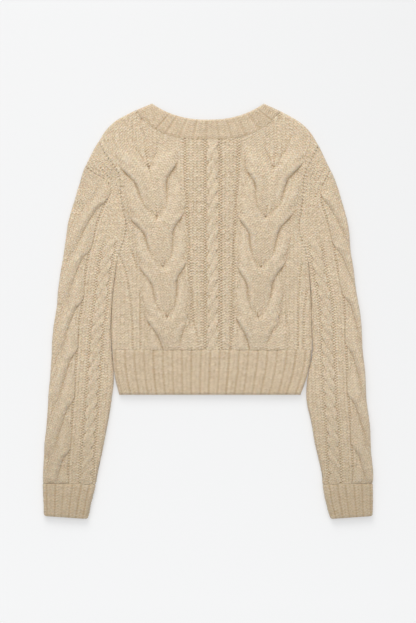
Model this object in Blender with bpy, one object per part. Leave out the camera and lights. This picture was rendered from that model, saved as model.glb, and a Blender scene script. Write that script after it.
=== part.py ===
"""A cropped cable-knit cardigan, laid flat on its fronts with its back up.

X runs from the left to the right of the back, Y from the cuffs to the neck, and Z up from the
surface that the garment lies on. Sizes are in millimetres until a mesh is made.
"""

import bpy
import numpy as np

MM = 0.001
# The middle of the garment's outline, which becomes the origin.
OUTLINE_MIDDLE = (-0.4, 1.0)

# Layers, counted up from the surface. The fronts lie below and the back lies on them.
WALL = 5.0
LAYER_GAP = 0.3
SEAM_GAP = 0.3
FRONT_TOP = WALL
BACK_BOTTOM = FRONT_TOP + LAYER_GAP
BACK_TOP = BACK_BOTTOM + WALL
EDGE_LIP = 1.2
FOLD_ROUND = 7.0
# Where the two rows of points nearest a rounded edge lie, in shares of the row after them.
NEAR_EDGE = (0.12, 0.45)
TUBE_EDGE = 4.4
# How far the underside is drawn in at a free edge, and at what height.
TUBE_INSETS = ((0.0, TUBE_EDGE), (1.4, 1.4), (3.2, 0.0))
FRONT_INSETS = ((0.0, 2.6), (1.8, 0.0))
TUBE_WALL = 5.0
TUBE_SLIT = (4.9, 5.5)
# How far the block that cuts a hollow reaches out past the tube's end
SLIT_OVERRUN = 12.0

# Heights of the raised knit above a plain wall.
CABLE_RAISE = 6.0
SLEEVE_CABLE_RAISE = 5.0
ROPE_RAISE = 2.6
RIB_RAISE = 2.4
GUTTER_DROP = 1.0

# The body, in rows from the hem seam up: the side seams, and above the armpit the armholes.
HEM_SEAM_Y = -65.0
ARMPIT_Y = 96.0
# A seam turns into a fold over this length, from this far below the armpit.
FOLD_START, FOLD_LENGTH = 4.0, 20.0
BODY_SIDES = (
    # left x, left y, right x, right y
    (-164.0, -65.0, 178.0, -65.0),
    (-165.5, -31.0, 177.5, -31.0),
    (-163.5, 20.0, 176.0, 20.0),
    (-158.5, 63.0, 173.5, 63.0),
    (-154.0, 96.0, 169.5, 96.0),
    (-144.5, 123.0, 161.0, 123.0),
    (-140.0, 149.0, 156.0, 149.0),
    (-145.0, 172.0, 160.0, 172.0),
    (-149.5, 200.0, 163.0, 200.0),
    (-152.0, 232.0, 164.5, 230.0),
    (-163.0, 252.0, 173.0, 251.0),
    (-178.0, 273.0, 184.0, 272.0),
    (-187.0, 292.0, 190.0, 284.0),
)
SHOULDERS = (
    # left x, left y, right x, right y, from the armhole to the neck seam
    (-187.0, 292.0, 190.0, 284.0),
    (-176.0, 310.0, 176.0, 307.0),
    (-160.0, 326.0, 160.0, 323.0),
    (-142.0, 336.5, 142.0, 334.5),
    (-125.0, 345.0, 124.0, 344.0),
)
NECK_SEAM_DEPTH = 49.0
NECK_SEAM_BOW = 3.3
NECK_POINT = (96.0, 357.0)
NECK_EDGE_DEPTH = 27.5
NECK_EDGE_BOW = 2.35

# The sleeves, in rows from the shoulder to the cuff seam: the fold on the outside of the arm,
# and the armhole, which below the armpit goes on as the fold under the arm.
SLEEVES = {
    "left": (
        # fold x, fold y, inner x, inner y
        (-189.0, 289.5, -185.5, 287.0),
        (-195.0, 280.0, -178.0, 273.0),
        (-205.0, 260.0, -163.0, 252.0),
        (-214.5, 239.0, -152.0, 232.0),
        (-225.5, 200.0, -149.5, 200.0),
        (-234.5, 173.0, -145.0, 172.0),
        (-240.5, 148.0, -140.0, 149.0),
        (-243.5, 121.0, -144.5, 123.0),
        (-248.0, 94.0, -154.0, 96.0),
        (-254.5, 56.0, -160.5, 63.0),
        (-258.5, 13.0, -165.5, 20.0),
        (-265.0, -28.0, -168.0, -31.0),
        (-267.5, -69.0, -166.5, -69.0),
        (-270.5, -110.0, -161.5, -115.0),
        (-273.5, -151.0, -165.5, -151.0),
        (-276.5, -192.0, -172.0, -192.0),
        (-280.0, -233.0, -180.0, -233.0),
        (-282.5, -274.0, -188.5, -274.0),
        (-283.0, -294.0, -193.0, -296.0),
    ),
    "right": (
        (191.0, 281.5, 188.5, 280.0),
        (196.0, 272.0, 184.0, 272.0),
        (206.0, 251.0, 173.0, 251.0),
        (216.0, 230.0, 164.5, 230.0),
        (226.0, 200.0, 163.0, 200.0),
        (234.0, 173.0, 160.0, 172.0),
        (239.0, 148.0, 156.0, 149.0),
        (242.5, 121.0, 161.0, 123.0),
        (245.0, 94.0, 169.5, 96.0),
        (250.5, 56.0, 175.5, 63.0),
        (257.0, 13.0, 178.0, 20.0),
        (262.0, -28.0, 180.0, -31.0),
        (265.0, -69.0, 180.0, -69.0),
        (268.5, -110.0, 170.5, -115.0),
        (271.5, -151.0, 169.0, -151.0),
        (276.0, -192.0, 177.5, -192.0),
        (279.0, -233.0, 185.0, -233.0),
        (282.0, -274.0, 194.5, -274.0),
        (282.0, -294.0, 196.5, -296.0),
    ),
}
CUFFS = {
    "left": (
        # fold x, fold y, inner x, inner y
        (-283.0, -294.0, -193.0, -296.0),
        (-281.5, -322.0, -200.5, -325.0),
        (-280.5, -350.0, -207.0, -355.0),
    ),
    "right": (
        (282.0, -294.0, 196.5, -296.0),
        (282.0, -322.0, 202.0, -325.0),
        (281.5, -350.0, 210.5, -355.0),
    ),
}
# The ribs of a cuff across its flat width, and how far into a rib the outer fold lies
CUFF_RIBS = 6
CUFF_RIB_START = {"left": 0.57, "right": 0.70}

# The hem, from its seam to the edge.
HEM_SIDES = (
    # left x, right x, y
    (-164.0, 178.0, -65.0),
    (-163.0, 175.0, -90.0),
    (-158.0, 167.0, -120.0),
    (-152.0, 158.5, -142.5),
)
HEM_RIBS = 21
HEM_RIB_START = 0.64
# The purl gaps of the neckband, halfway up it. Its ends are plain.
NECK_GAPS = (-78.0, -63.5, -43.0, -23.0, -3.0, 17.0, 36.0, 57.0, 78.0, 97.0)

# The front bands: seam side and free side, from the shoulder to the hem's edge. The left one is
# listed and the right one mirrors it about the middle of the fronts.
BAND_MIDDLE = 3.0
BAND_HALF = 17.5
BAND_ROWS = (
    # seam x, seam y, edge x, edge y, out from the middle of the fronts
    (128.0, 344.5, 99.0, 356.5),
    (104.0, 294.0, 72.0, 309.0),
    (66.0, 208.0, 34.0, 222.0),
    (34.0, 136.0, 2.0, 150.0),
    (19.5, 84.0, -15.5, 96.0),
    (17.5, 50.0, -17.5, 52.0),
    (17.5, -46.0, -17.5, -46.0),
    (17.5, -142.5, -17.5, -142.5),
)
OUTER_BAND = 2.9
OVERLAP_TOP_Y = 150.0
OVERLAP_RAMP = 24.0

BUTTON_RADIUS = 9.0
BUTTON_THICK = 1.8
BUTTON_DOMING = 0.5
BUTTON_YS = (-124.0, -74.0, -24.0, 26.0, 76.0)
BUTTON_HOLES = 4
BUTTON_HOLE_RADIUS = 1.1
BUTTON_HOLE_SPREAD = 2.4
BUTTON_SIDES, BUTTON_HOLE_SIDES = 18, 6

# The knit's raised pattern. A cable is four strands in two mirrored pairs. A strand takes two
# repeats to cross in over its neighbour and to pass back out under the next one. Its edges are
# places from the cable's middle line (0) to its side (1).
REPEAT = 85.5
CABLE_STEPS = 160
# A strand's rounded back: the power of its curve from the middle to the edges
STRAND_BACK = 4
STRAND_COURSE = (
    # repeats from the point of the V, inner edge, outer edge, height
    (-0.68, 0.45, 0.99, 0.42),
    (-0.41, 0.37, 1.03, 0.70),
    (-0.20, 0.22, 0.96, 0.96),
    (0.00, 0.02, 0.80, 1.00),
    (0.15, -0.10, 0.60, 1.00),
    (0.27, -0.14, 0.46, 0.98),
    (0.50, -0.16, 0.43, 0.88),
    (0.75, -0.14, 0.45, 0.66),
    (0.88, 0.00, 0.56, 0.36),
    (1.00, 0.16, 0.74, 0.05),
    (1.15, 0.34, 0.90, 0.12),
)
CABLE_V_Y = 248.0
# Above the topmost V only the outer strands go on, and they flatten out to the shoulders.
STRANDS_END = 262.0
SHOULDER_FADE = (264.0, 312.0)
CABLES = {
    "left": (
        # y, middle x, half width
        (340.0, -113.0, 62.0),
        (296.0, -107.0, 58.0),
        (248.0, -101.0, 55.0),
        (159.0, -87.0, 53.0),
        (75.0, -77.0, 45.0),
        (-9.0, -70.0, 42.0),
        (-66.0, -66.0, 41.0),
    ),
    "right": (
        (340.0, 124.0, 62.0),
        (296.0, 118.0, 58.0),
        (248.0, 113.0, 55.0),
        (164.0, 99.0, 53.0),
        (78.0, 91.0, 46.0),
        (-7.0, 86.0, 43.0),
        (-66.0, 82.0, 41.0),
    ),
}
# A sleeve's cable runs along the fold on the outside of the arm, with its middle near the fold.
SLEEVE_CABLE_HALF = 46.0
SLEEVE_COURSE = (
    # repeats from where a strand's lower edge leaves the cable's side, then as above
    (-0.40, 0.50, 1.00, 0.60),
    (-0.20, 0.46, 1.02, 0.85),
    (0.00, 0.38, 1.02, 1.00),
    (0.14, 0.31, 0.79, 1.00),
    (0.28, 0.22, 0.71, 1.00),
    (0.50, 0.10, 0.63, 0.92),
    (0.72, 0.00, 0.54, 0.76),
    (0.95, -0.08, 0.50, 0.45),
    (1.10, -0.05, 0.50, 0.10),
    (1.20, 0.15, 0.65, -0.20),
    (1.30, 0.35, 0.85, 0.00),
    (1.45, 0.50, 0.98, 0.35),
)
SLEEVE_START_Y = {"left": 105.0, "right": 110.0}
SLEEVE_BOUNDS = {
    "left": (
        # y, and how far the cable's side lies from the fold
        (249.0, -8.0),
        (236.5, 24.0),
        (216.0, 58.0),
        (187.0, 55.0),
        (148.0, 49.0),
        (104.0, 43.0),
        (-300.0, 43.0),
    ),
    "right": (
        (248.0, -8.0),
        (226.0, 18.0),
        (193.0, 37.0),
        (120.0, 28.0),
        (29.0, 23.0),
        (-60.0, 28.0),
        (-150.0, 31.0),
        (-300.0, 34.0),
    ),
}
# How far a sleeve's rope lies from the side of the cable, and where it begins
SLEEVE_ROPE_AT = 31.5
SLEEVE_ROPE_TOP = 128.0
BACK_ROPE = ((340.0, 7.5), (-66.0, 8.0))
ROPE_HALF = 9.5
ROPE_TWIST = 25.5
# How far a rope's strands lean, in turns across its half width, and how much they dip between
ROPE_LEAN = 0.42
ROPE_DIP = 0.25
GUTTERS = (
    # y, then the middle x of each purl gutter of the back
    (300.0, -41.0, -5.0, 21.0, 54.0),
    (170.0, -36.0, -5.0, 21.0, 47.5),
    (80.0, -32.0, -5.0, 21.0, 44.0),
    (-66.0, -24.0, -5.0, 21.0, 40.0),
)
GUTTER_HALF = 3.6

# Grids
BACK_COLUMNS, BACK_ROWS = 44, 52
SLEEVE_COLUMNS, SLEEVE_ROWS = 12, 54
FRONT_COLUMNS, FRONT_ROWS = 3, 52
RIB_STEPS = 4
NECK_COLUMNS = 56
BACK_EDGE_SHARE, SLEEVE_EDGE_SHARE = 0.02, 0.07
HEM_ROWS = (0, 0.02, 0.08, 0.5, 1)
NECK_ROWS = (0, 0.5, 0.84, 0.96, 1)
CUFF_ROWS = (0, 0.5, 0.9, 0.98, 1)
# The rows of a front band from the shoulder down, closer where it bends
BAND_BEND_SHARE, BAND_BEND_ROWS, BAND_ROWS_BELOW, BAND_COLUMNS = 0.6, 31, 8, 5

KNIT_COLOUR = (0.66, 0.56, 0.41, 1.0)
BUTTON_COLOUR = (0.50, 0.40, 0.27, 1.0)


# Lines and grids


def smooth(points, steps=10):
    """A smooth curve through the points."""
    p = np.asarray(points, float)
    p = np.vstack([2 * p[0] - p[1], p, 2 * p[-1] - p[-2]])
    t = np.linspace(0, 1, steps, endpoint=False)[:, None]
    spans = []
    for a, b, c, d in zip(p, p[1:], p[2:], p[3:]):
        bend = 2 * a - 5 * b + 4 * c - d
        twist = 3 * b - 3 * c + d - a
        spans.append(b + 0.5 * ((c - a) * t + bend * t**2 + twist * t**3))
    return np.vstack(spans + [p[-2:-1]])


def along(line, shares):
    """The places at these shares of a line's length."""
    steps = np.linalg.norm(np.diff(line, axis=0), axis=1)
    reach = np.concatenate([[0], np.cumsum(steps)]) / steps.sum()
    return np.column_stack([np.interp(shares, reach, c) for c in line.T])


def beside(line, distance):
    """The line moved to its left by the distance."""
    ahead = np.gradient(line, axis=0)
    ahead /= np.linalg.norm(ahead, axis=1)[:, None]
    return line + distance * np.column_stack([-ahead[:, 1], ahead[:, 0]])


def column(table, *names):
    """These columns of a table."""
    return np.asarray([[row[i] for i in names] for row in table], float)


def patch(left, right, bottom, top, across, up):
    """A grid of places stretched between four edges, rows by columns."""
    s, t = across[None, :, None], up[:, None, None]
    sides = (1 - s) * along(left, up)[:, None] + s * along(right, up)[:, None]
    low, high = along(bottom, across)[None], along(top, across)[None]
    corners = (1 - s) * ((1 - t) * low[:, :1] + t * high[:, :1])
    corners = corners + s * ((1 - t) * low[:, -1:] + t * high[:, -1:])
    return sides + (1 - t) * low + t * high - corners


def ruled(first, second, across):
    """A grid of straight rows between two lines with a point for each row."""
    s = across[None, :, None]
    return (1 - s) * first[:, None] + s * second[:, None]


def even(count, rounded_share=0.0):
    """Even shares from 0 to 1, with two more near each end where an edge is rounded."""
    shares = np.linspace(0, 1, count + 1)
    if rounded_share:
        near = rounded_share * np.array(NEAR_EDGE)
        inner = np.linspace(rounded_share, 1 - rounded_share, count - 1)
        shares = np.concatenate([[0], near, inner, 1 - near[::-1], [1]])
    return shares


def rolled(distance, radius=FOLD_ROUND):
    """How much of its height a wall has at this distance from a rounded edge."""
    inside = np.clip(1 - distance / radius, 0, 1)
    return np.sqrt(1 - inside**2)


def edge_distances(grid):
    """How far each place is from the left, right, bottom and top edges of its grid."""
    steps = np.linalg.norm(np.diff(grid, axis=1), axis=2)
    rows = np.concatenate([np.zeros((len(grid), 1)), np.cumsum(steps, axis=1)], axis=1)
    steps = np.linalg.norm(np.diff(grid, axis=0), axis=2)
    columns = np.concatenate([np.zeros((1, grid.shape[1])), np.cumsum(steps, axis=0)])
    return {
        "left": rows,
        "right": rows[:, -1:] - rows,
        "bottom": columns,
        "top": columns[-1:] - columns,
    }


def top_heights(grid, low, plain, raised, free):
    """The outer surface: plain wall and raised pattern, rolled down at the free edges."""
    share = np.ones(grid.shape[:2])
    distances = edge_distances(grid)
    for edge, weight in free.items():
        weight = np.asarray(weight, float)
        if weight.ndim:
            weight = weight[:, None] if edge in ("left", "right") else weight[None]
        share = share * (1 - weight + weight * rolled(distances[edge]))
    return low + EDGE_LIP + (plain + raised - low - EDGE_LIP) * share


# Meshes


def rim(shape):
    """The grid's outline as (row, column), once round to the left."""
    rows, columns = shape
    walk = [(0, j) for j in range(columns)]
    walk += [(i, columns - 1) for i in range(1, rows)]
    walk += [(rows - 1, j) for j in range(columns - 2, -1, -1)]
    walk += [(i, 0) for i in range(rows - 2, 0, -1)]
    return walk


def inset_rim(grid, free, inset):
    """The outline drawn in by the inset at its free edges only."""
    last_row, last_column = grid.shape[0] - 1, grid.shape[1] - 1
    drawn = []
    for i, j in rim(grid.shape[:2]):
        place = grid[i, j].copy()
        inner_column = min(max(j, 1), last_column - 1)
        inner_row = min(max(i, 1), last_row - 1)
        for edge, on_edge, inner in (
            ("left", j == 0, grid[i, inner_column]),
            ("right", j == last_column, grid[i, inner_column]),
            ("bottom", i == 0, grid[inner_row, j]),
            ("top", i == last_row, grid[inner_row, j]),
        ):
            if on_edge and edge in free:
                weight = np.asarray(free[edge], float)
                if weight.ndim:
                    weight = weight[i if edge in ("left", "right") else j]
                inward = inner - grid[i, j]
                place += weight * inset * inward / np.linalg.norm(inward)
        drawn.append(place)
    return np.array(drawn)


def make(name, points, faces, material):
    mesh = bpy.data.meshes.new(name)
    mesh.from_pydata((np.asarray(points) * MM).tolist(), [], faces)
    mesh.validate()
    mesh.materials.append(material)
    obj = bpy.data.objects.new(name, mesh)
    bpy.context.scene.collection.objects.link(obj)
    return obj


def slab(name, grid, heights, loops, material):
    """A closed wall: a grid of heights on top, then loops of (places, height) down to a flat
    underside."""
    rows, columns = grid.shape[:2]
    points = [np.concatenate([grid, heights[..., None]], axis=2).reshape(-1, 3)]
    faces = []
    for i in range(rows - 1):
        for j in range(columns - 1):
            a = i * columns + j
            faces.append((a, a + 1, a + columns + 1, a + columns))
    above = [i * columns + j for i, j in rim((rows, columns))]
    count = len(above)
    start = rows * columns
    for places, height in loops:
        points.append(np.column_stack([places, np.full(count, height)]))
        below = list(range(start, start + count))
        for k in range(count):
            n = (k + 1) % count
            faces.append((above[n], above[k], below[k], below[n]))
        above, start = below, start + count
    faces.append(tuple(reversed(above)))
    obj = make(name, np.vstack(points), faces, material)
    obj.data.shade_smooth()
    return obj


def two_sided(name, grid, tops, unders, material):
    """A closed wall with a grid of heights on both sides."""
    rows, columns = grid.shape[:2]
    count = rows * columns
    points = np.vstack(
        [np.concatenate([grid, z[..., None]], axis=2).reshape(-1, 3) for z in (tops, unders)]
    )
    faces = []
    for i in range(rows - 1):
        for j in range(columns - 1):
            a = i * columns + j
            quad = (a, a + 1, a + columns + 1, a + columns)
            faces.append(quad)
            faces.append(tuple(count + v for v in reversed(quad)))
    walk = [i * columns + j for i, j in rim((rows, columns))]
    for k, n in zip(walk, walk[1:] + walk[:1]):
        faces.append((n, k, count + k, count + n))
    return make(name, points, faces, material)


def cut(obj, cutter):
    cutter.hide_render = True
    cutter.display_type = "WIRE"
    modifier = obj.modifiers.new("Cut", "BOOLEAN")
    modifier.operation = "DIFFERENCE"
    modifier.solver = "EXACT"
    modifier.object = cutter


def prism(name, outline, low, high, material):
    """A flat block over an outline that runs to the left."""
    count = len(outline)
    points = [(x, y, z) for z in (low, high) for x, y in outline]
    faces = [tuple(reversed(range(count))), tuple(range(count, 2 * count))]
    faces += [(k, (k + 1) % count, count + (k + 1) % count, count + k) for k in range(count)]
    return make(name, points, faces, material)


# The raised knit


def between(table, y):
    """The columns after the first, at these y, of a table whose first column falls."""
    table = np.asarray(table, float)[::-1]
    return [np.interp(y, table[:, 0], c) for c in table.T[1:]]


def at_phase(course, phase):
    """A strand's inner edge, outer edge and height at a phase counted in repeats."""
    table = np.asarray(course)
    turned = (phase - table[0, 0]) % 2 + table[0, 0]
    wrapped = np.vstack([table, table[:1] + [2, 0, 0, 0]])
    return [np.interp(turned, wrapped[:, 0], c) for c in wrapped.T[1:]]


def ridge(grid, line, half, tops):
    """The height over the grid of a round-backed strand along a line."""
    flat = grid.reshape(-1, 2)
    nearest = np.argmin(((flat[:, None] - line[None]) ** 2).sum(2), axis=1)
    away = np.linalg.norm(flat - line[nearest], axis=1) / half[nearest]
    height = tops[nearest] - (1 + tops[nearest]) * np.clip(away, 0, 1) ** STRAND_BACK
    return np.where(away < 1, height, -1.0).reshape(grid.shape[:2])


def cable(grid, ys, middle, half, course, start_y, end_y=None):
    """The height of a four-strand cable over the grid, from -1 off it to 1 on its crossings."""
    height = np.full(grid.shape[:2], -1.0)
    for shift in (0, 1):
        phase = (start_y - ys) / REPEAT + shift
        if end_y is not None and shift == 0:
            phase = np.maximum(phase, course[0][0])
        inner, outer, tops = at_phase(course, phase)
        if end_y is not None and shift == 1:
            tops = np.where(ys > end_y, -1.0, tops)
        for side in (-1, 1):
            x = middle + side * half * (inner + outer) / 2
            run = np.gradient(x, ys)
            width = half * (outer - inner) / 2 / np.hypot(1, run)
            line = np.column_stack([x, ys])
            height = np.maximum(height, ridge(grid, line, width, tops))
    return height


def rope(grid, middle):
    """The height of a two-strand rope over the grid, from 0 beside it to 1."""
    x, y = grid[..., 0], grid[..., 1]
    across = (x - middle) / ROPE_HALF
    wave = np.cos(2 * np.pi * (y / ROPE_TWIST - across * ROPE_LEAN))
    crown = np.clip(1 - across**2, 0, 1)
    return np.where(np.abs(across) < 1, crown * (1 - ROPE_DIP + ROPE_DIP * wave), 0.0)


def gutter_drop(grid):
    """How far the purl gutters of the back sink, from 0 to 1."""
    drop = np.zeros(grid.shape[:2])
    for middle in between(GUTTERS, grid[..., 1]):
        away = np.abs(grid[..., 0] - middle) / GUTTER_HALF
        drop = np.maximum(drop, np.clip(1 - away, 0, 1))
    return drop


def ribs(turns):
    """A row of ribs over turns, with a gap at each whole one: 1 on a rib and 0 in a gap."""
    return np.clip(0.5 - 0.8 * np.cos(2 * np.pi * turns), 0, 1)


# Materials


def material(name, colour, roughness):
    made = bpy.data.materials.new(name)
    made.use_nodes = True
    shader = made.node_tree.nodes["Principled BSDF"]
    shader.inputs["Base Color"].default_value = colour
    shader.inputs["Roughness"].default_value = roughness
    shader.inputs["Metallic"].default_value = 0.0
    return made


# The garment's lines


def body_side(side):
    """The body's side seam and armhole, from the hem seam up."""
    return smooth(column(BODY_SIDES, *((0, 1) if side == "left" else (2, 3))))


def shoulder(side):
    """The shoulder from the armhole to the neck seam."""
    return smooth(column(SHOULDERS, *((0, 1) if side == "left" else (2, 3))))


def bow(start, end, depth, power, count=48):
    """A neckline from start to end that dips by the depth."""
    s = np.linspace(-1, 1, count + 1)
    t = (1 + s[:, None]) / 2
    line = np.asarray(start)[None] * (1 - t) + np.asarray(end)[None] * t
    line[:, 1] -= depth * (1 - np.abs(s) ** power)
    return line


def neck_seam():
    return bow(SHOULDERS[-1][0:2], SHOULDERS[-1][2:4], NECK_SEAM_DEPTH, NECK_SEAM_BOW)


def neck_edge():
    x, y = NECK_POINT
    return bow((-x, y), (x, y), NECK_EDGE_DEPTH, NECK_EDGE_BOW)


def below_armpit(ys):
    """1 where an edge is a fold, and 0 where it is sewn to the next piece."""
    return np.clip((ARMPIT_Y - FOLD_START - ys) / FOLD_LENGTH, 0, 1)


def band_line(side, columns):
    """A line of the front band, from the shoulder down."""
    sign = -1 if side == "left" else 1
    line = smooth(column(BAND_ROWS, *columns))
    return line * [sign, 1] + [BAND_MIDDLE, 0]


# The pieces


def make_back(knit):
    left = beside(body_side("left"), -SEAM_GAP / 2)
    right = beside(body_side("right"), SEAM_GAP / 2)
    top = np.vstack([shoulder("left")[:-1], neck_seam(), shoulder("right")[-2::-1]])
    bottom = np.array([left[0], right[0]]) + [0, SEAM_GAP / 2]
    top = beside(top, -SEAM_GAP / 2)
    left[0, 1] = right[0, 1] = bottom[0, 1]
    top[0], top[-1] = left[-1], right[-1]
    across = even(BACK_COLUMNS, BACK_EDGE_SHARE)
    grid = patch(left, right, bottom, top, across, even(BACK_ROWS))
    raised = ROPE_RAISE * rope(grid, between(BACK_ROPE, grid[..., 1])[0])
    low, high = SHOULDER_FADE
    fade = np.clip((high - grid[..., 1]) / (high - low), 0, 1)
    for table in CABLES.values():
        ys = np.linspace(table[0][0], table[-1][0], CABLE_STEPS)
        height = cable(grid, ys, *between(table, ys), STRAND_COURSE, CABLE_V_Y, STRANDS_END)
        raised = np.maximum(raised, CABLE_RAISE * fade * np.clip(height, 0, 1))
    raised = raised - GUTTER_DROP * gutter_drop(grid)
    free = {
        "left": below_armpit(grid[:, 0, 1]),
        "right": below_armpit(grid[:, -1, 1]),
    }
    heights = top_heights(grid, BACK_BOTTOM, BACK_TOP, raised, free)
    outline = np.array([grid[i, j] for i, j in rim(grid.shape[:2])])
    slab("back", grid, heights, [(outline, BACK_BOTTOM)], knit)


def make_hem_back(knit):
    sides = column(HEM_SIDES, 0, 2), column(HEM_SIDES, 1, 2)
    left, right = (smooth(side)[::-1] for side in sides)
    left[-1, 1] = right[-1, 1] = HEM_SEAM_Y - SEAM_GAP / 2
    across = np.linspace(0, 1, HEM_RIBS * RIB_STEPS + 1)
    bottom, top = np.array([left[0], right[0]]), np.array([left[-1], right[-1]])
    grid = patch(left, right, bottom, top, across, np.array(HEM_ROWS))
    raised = np.broadcast_to(RIB_RAISE * ribs(HEM_RIBS * across + HEM_RIB_START)[None], grid.shape[:2])
    free = {"left": 1, "right": 1, "bottom": 1}
    heights = top_heights(grid, BACK_BOTTOM, BACK_TOP, raised, free)
    outline = np.array([grid[i, j] for i, j in rim(grid.shape[:2])])
    slab("hem_back", grid, heights, [(outline, BACK_BOTTOM)], knit)


def make_neckband(knit):
    bottom = beside(neck_seam(), SEAM_GAP / 2)
    top = neck_edge()
    left, right = np.array([bottom[0], top[0]]), np.array([bottom[-1], top[-1]])
    across = even(NECK_COLUMNS)
    grid = patch(left, right, bottom, top, across, np.array(NECK_ROWS))
    last = len(NECK_GAPS) - 1
    halfway = grid[len(NECK_ROWS) // 2 - 1, :, 0]
    turns = np.interp(halfway, NECK_GAPS, np.arange(last + 1), -0.5, last + 0.5)
    raised = np.broadcast_to(RIB_RAISE * ribs(turns)[None], grid.shape[:2])
    free = {"left": 1, "right": 1, "top": 1}
    heights = top_heights(grid, BACK_BOTTOM, BACK_TOP, raised, free)
    outline = np.array([grid[i, j] for i, j in rim(grid.shape[:2])])
    slab("neckband_back", grid, heights, [(outline, BACK_BOTTOM)], knit)


def tube_cutter(name, rows, open_rows, knit):
    """The hollow of a flattened tube: a thin slit, in from its folds, out at both ends, and out
    through the inner side along the open rows."""
    fold, inner = column(rows, 0, 1), column(rows, 2, 3)
    across = inner - fold
    across /= np.linalg.norm(across, axis=1)[:, None]
    inset = np.where(np.arange(len(rows)) < open_rows, -TUBE_WALL, TUBE_WALL)[:, None]
    fold, inner = fold + TUBE_WALL * across, inner - inset * across
    out = [fold[-1] - fold[-2], inner[-1] - inner[-2]]
    for line, way in zip((fold, inner), out):
        overrun = way / np.linalg.norm(way) * SLIT_OVERRUN
        line[-1] += overrun
        if not open_rows:
            line[0] -= overrun
    outline = np.vstack([fold, inner[::-1]])
    ahead = np.roll(outline, -1, axis=0)
    area = (outline[:, 0] * ahead[:, 1] - outline[:, 1] * ahead[:, 0]).sum()
    if area < 0:
        outline = outline[::-1]
    return prism(name, outline, *TUBE_SLIT, knit)


def make_tube(name, rows, across, row_shares, raise_by, free, knit):
    """A flattened tube with its pattern raised on the upper side."""
    fold, inner = smooth(column(rows, 0, 1)), smooth(column(rows, 2, 3))
    grid = ruled(along(fold, row_shares), along(inner, row_shares), across)
    if grid[0, 0, 0] > grid[0, -1, 0]:
        grid = grid[:, ::-1]
        free = {{"left": "right", "right": "left"}.get(k, k): v for k, v in free.items()}
    grid = grid[::-1]
    free = {
        k: (np.asarray(v)[::-1] if k in ("left", "right") and np.ndim(v) else v)
        for k, v in free.items()
    }
    heights = top_heights(grid, TUBE_EDGE, BACK_TOP, raise_by(grid), free)
    loops = [(inset_rim(grid, free, inset), z) for inset, z in TUBE_INSETS]
    return slab(name, grid, heights, loops, knit)


def make_sleeve(side, knit):
    rows = list(SLEEVES[side])
    sign = -1 if side == "left" else 1
    armpit = next(k for k, row in enumerate(rows) if row[3] <= ARMPIT_Y)
    body_gap = [(x, y, u + sign * SEAM_GAP / 2, v) for x, y, u, v in rows]
    x, y, u, v = body_gap[-1]
    body_gap[-1] = (x, y + SEAM_GAP / 2, u, v + SEAM_GAP / 2)
    inner = smooth(column(rows, 2, 3))
    shares = even(SLEEVE_ROWS)
    sewn = below_armpit(along(inner, shares)[:, 1])
    fold = smooth(column(rows, 0, 1))[::-1]

    def bound_x(ys):
        """The side of the cable that lies towards the body."""
        (away,) = between(SLEEVE_BOUNDS[side], ys)
        return np.interp(ys, fold[:, 1], fold[:, 0]) - sign * away

    def raised(grid):
        ys = np.linspace(rows[0][1], rows[-1][1], CABLE_STEPS)
        middle, half = bound_x(ys) + sign * SLEEVE_CABLE_HALF, np.full(len(ys), SLEEVE_CABLE_HALF)
        height = cable(grid, ys, middle, half, SLEEVE_COURSE, SLEEVE_START_Y[side])
        y = grid[..., 1]
        ropes = rope(grid, bound_x(y) - sign * SLEEVE_ROPE_AT) * (y < SLEEVE_ROPE_TOP)
        return np.maximum(SLEEVE_CABLE_RAISE * np.clip(height, 0, 1), ROPE_RAISE * ropes)

    across = even(SLEEVE_COLUMNS, SLEEVE_EDGE_SHARE)
    free = {"left": 1, "right": sewn}
    tube = make_tube("sleeve_" + side, body_gap, across, shares, raised, free, knit)
    cut(tube, tube_cutter("sleeve_hollow_" + side, body_gap, armpit, knit))


def make_cuff(side, knit):
    x, y, u, v = CUFFS[side][0]
    rows = [(x, y - SEAM_GAP / 2, u, v - SEAM_GAP / 2), *CUFFS[side][1:]]
    across = np.linspace(0, 1, CUFF_RIBS * RIB_STEPS + 1)
    pattern = RIB_RAISE * ribs(CUFF_RIBS * across + CUFF_RIB_START[side])
    free = {"left": 1, "right": 1, "bottom": 1}

    def raised(grid):
        return np.broadcast_to(pattern[None], grid.shape[:2])

    tube = make_tube("cuff_" + side, rows, across, np.array(CUFF_ROWS), raised, free, knit)
    cut(tube, tube_cutter("cuff_hollow_" + side, rows, 0, knit))


def make_front(side, knit):
    """A front from the side seam to its band, plain on both sides."""
    sign = -1 if side == "left" else 1
    outer = beside(body_side(side), sign * SEAM_GAP / 2)
    band = band_line(side, (0, 1))[::-1]
    band = band[band[:, 1] > HEM_SEAM_Y]
    band = np.vstack([[band[0, 0], HEM_SEAM_Y], band]) + [sign * SEAM_GAP, 0]
    outer[0, 1] = band[0, 1] = HEM_SEAM_Y + SEAM_GAP / 2
    top = shoulder(side) - [0, SEAM_GAP]
    top[0], top[-1] = outer[-1], band[-1]
    left, right = (outer, band) if side == "left" else (band, outer)
    if side == "right":
        top = top[::-1]
    bottom = np.array([left[0], right[0]])
    grid = patch(left, right, bottom, top, even(FRONT_COLUMNS), even(FRONT_ROWS))
    free = {side: below_armpit(grid[:, 0 if side == "left" else -1, 1])}
    loops = [(inset_rim(grid, free, inset), z) for inset, z in FRONT_INSETS]
    slab("front_" + side, grid, np.full(grid.shape[:2], FRONT_TOP), loops, knit)


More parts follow.
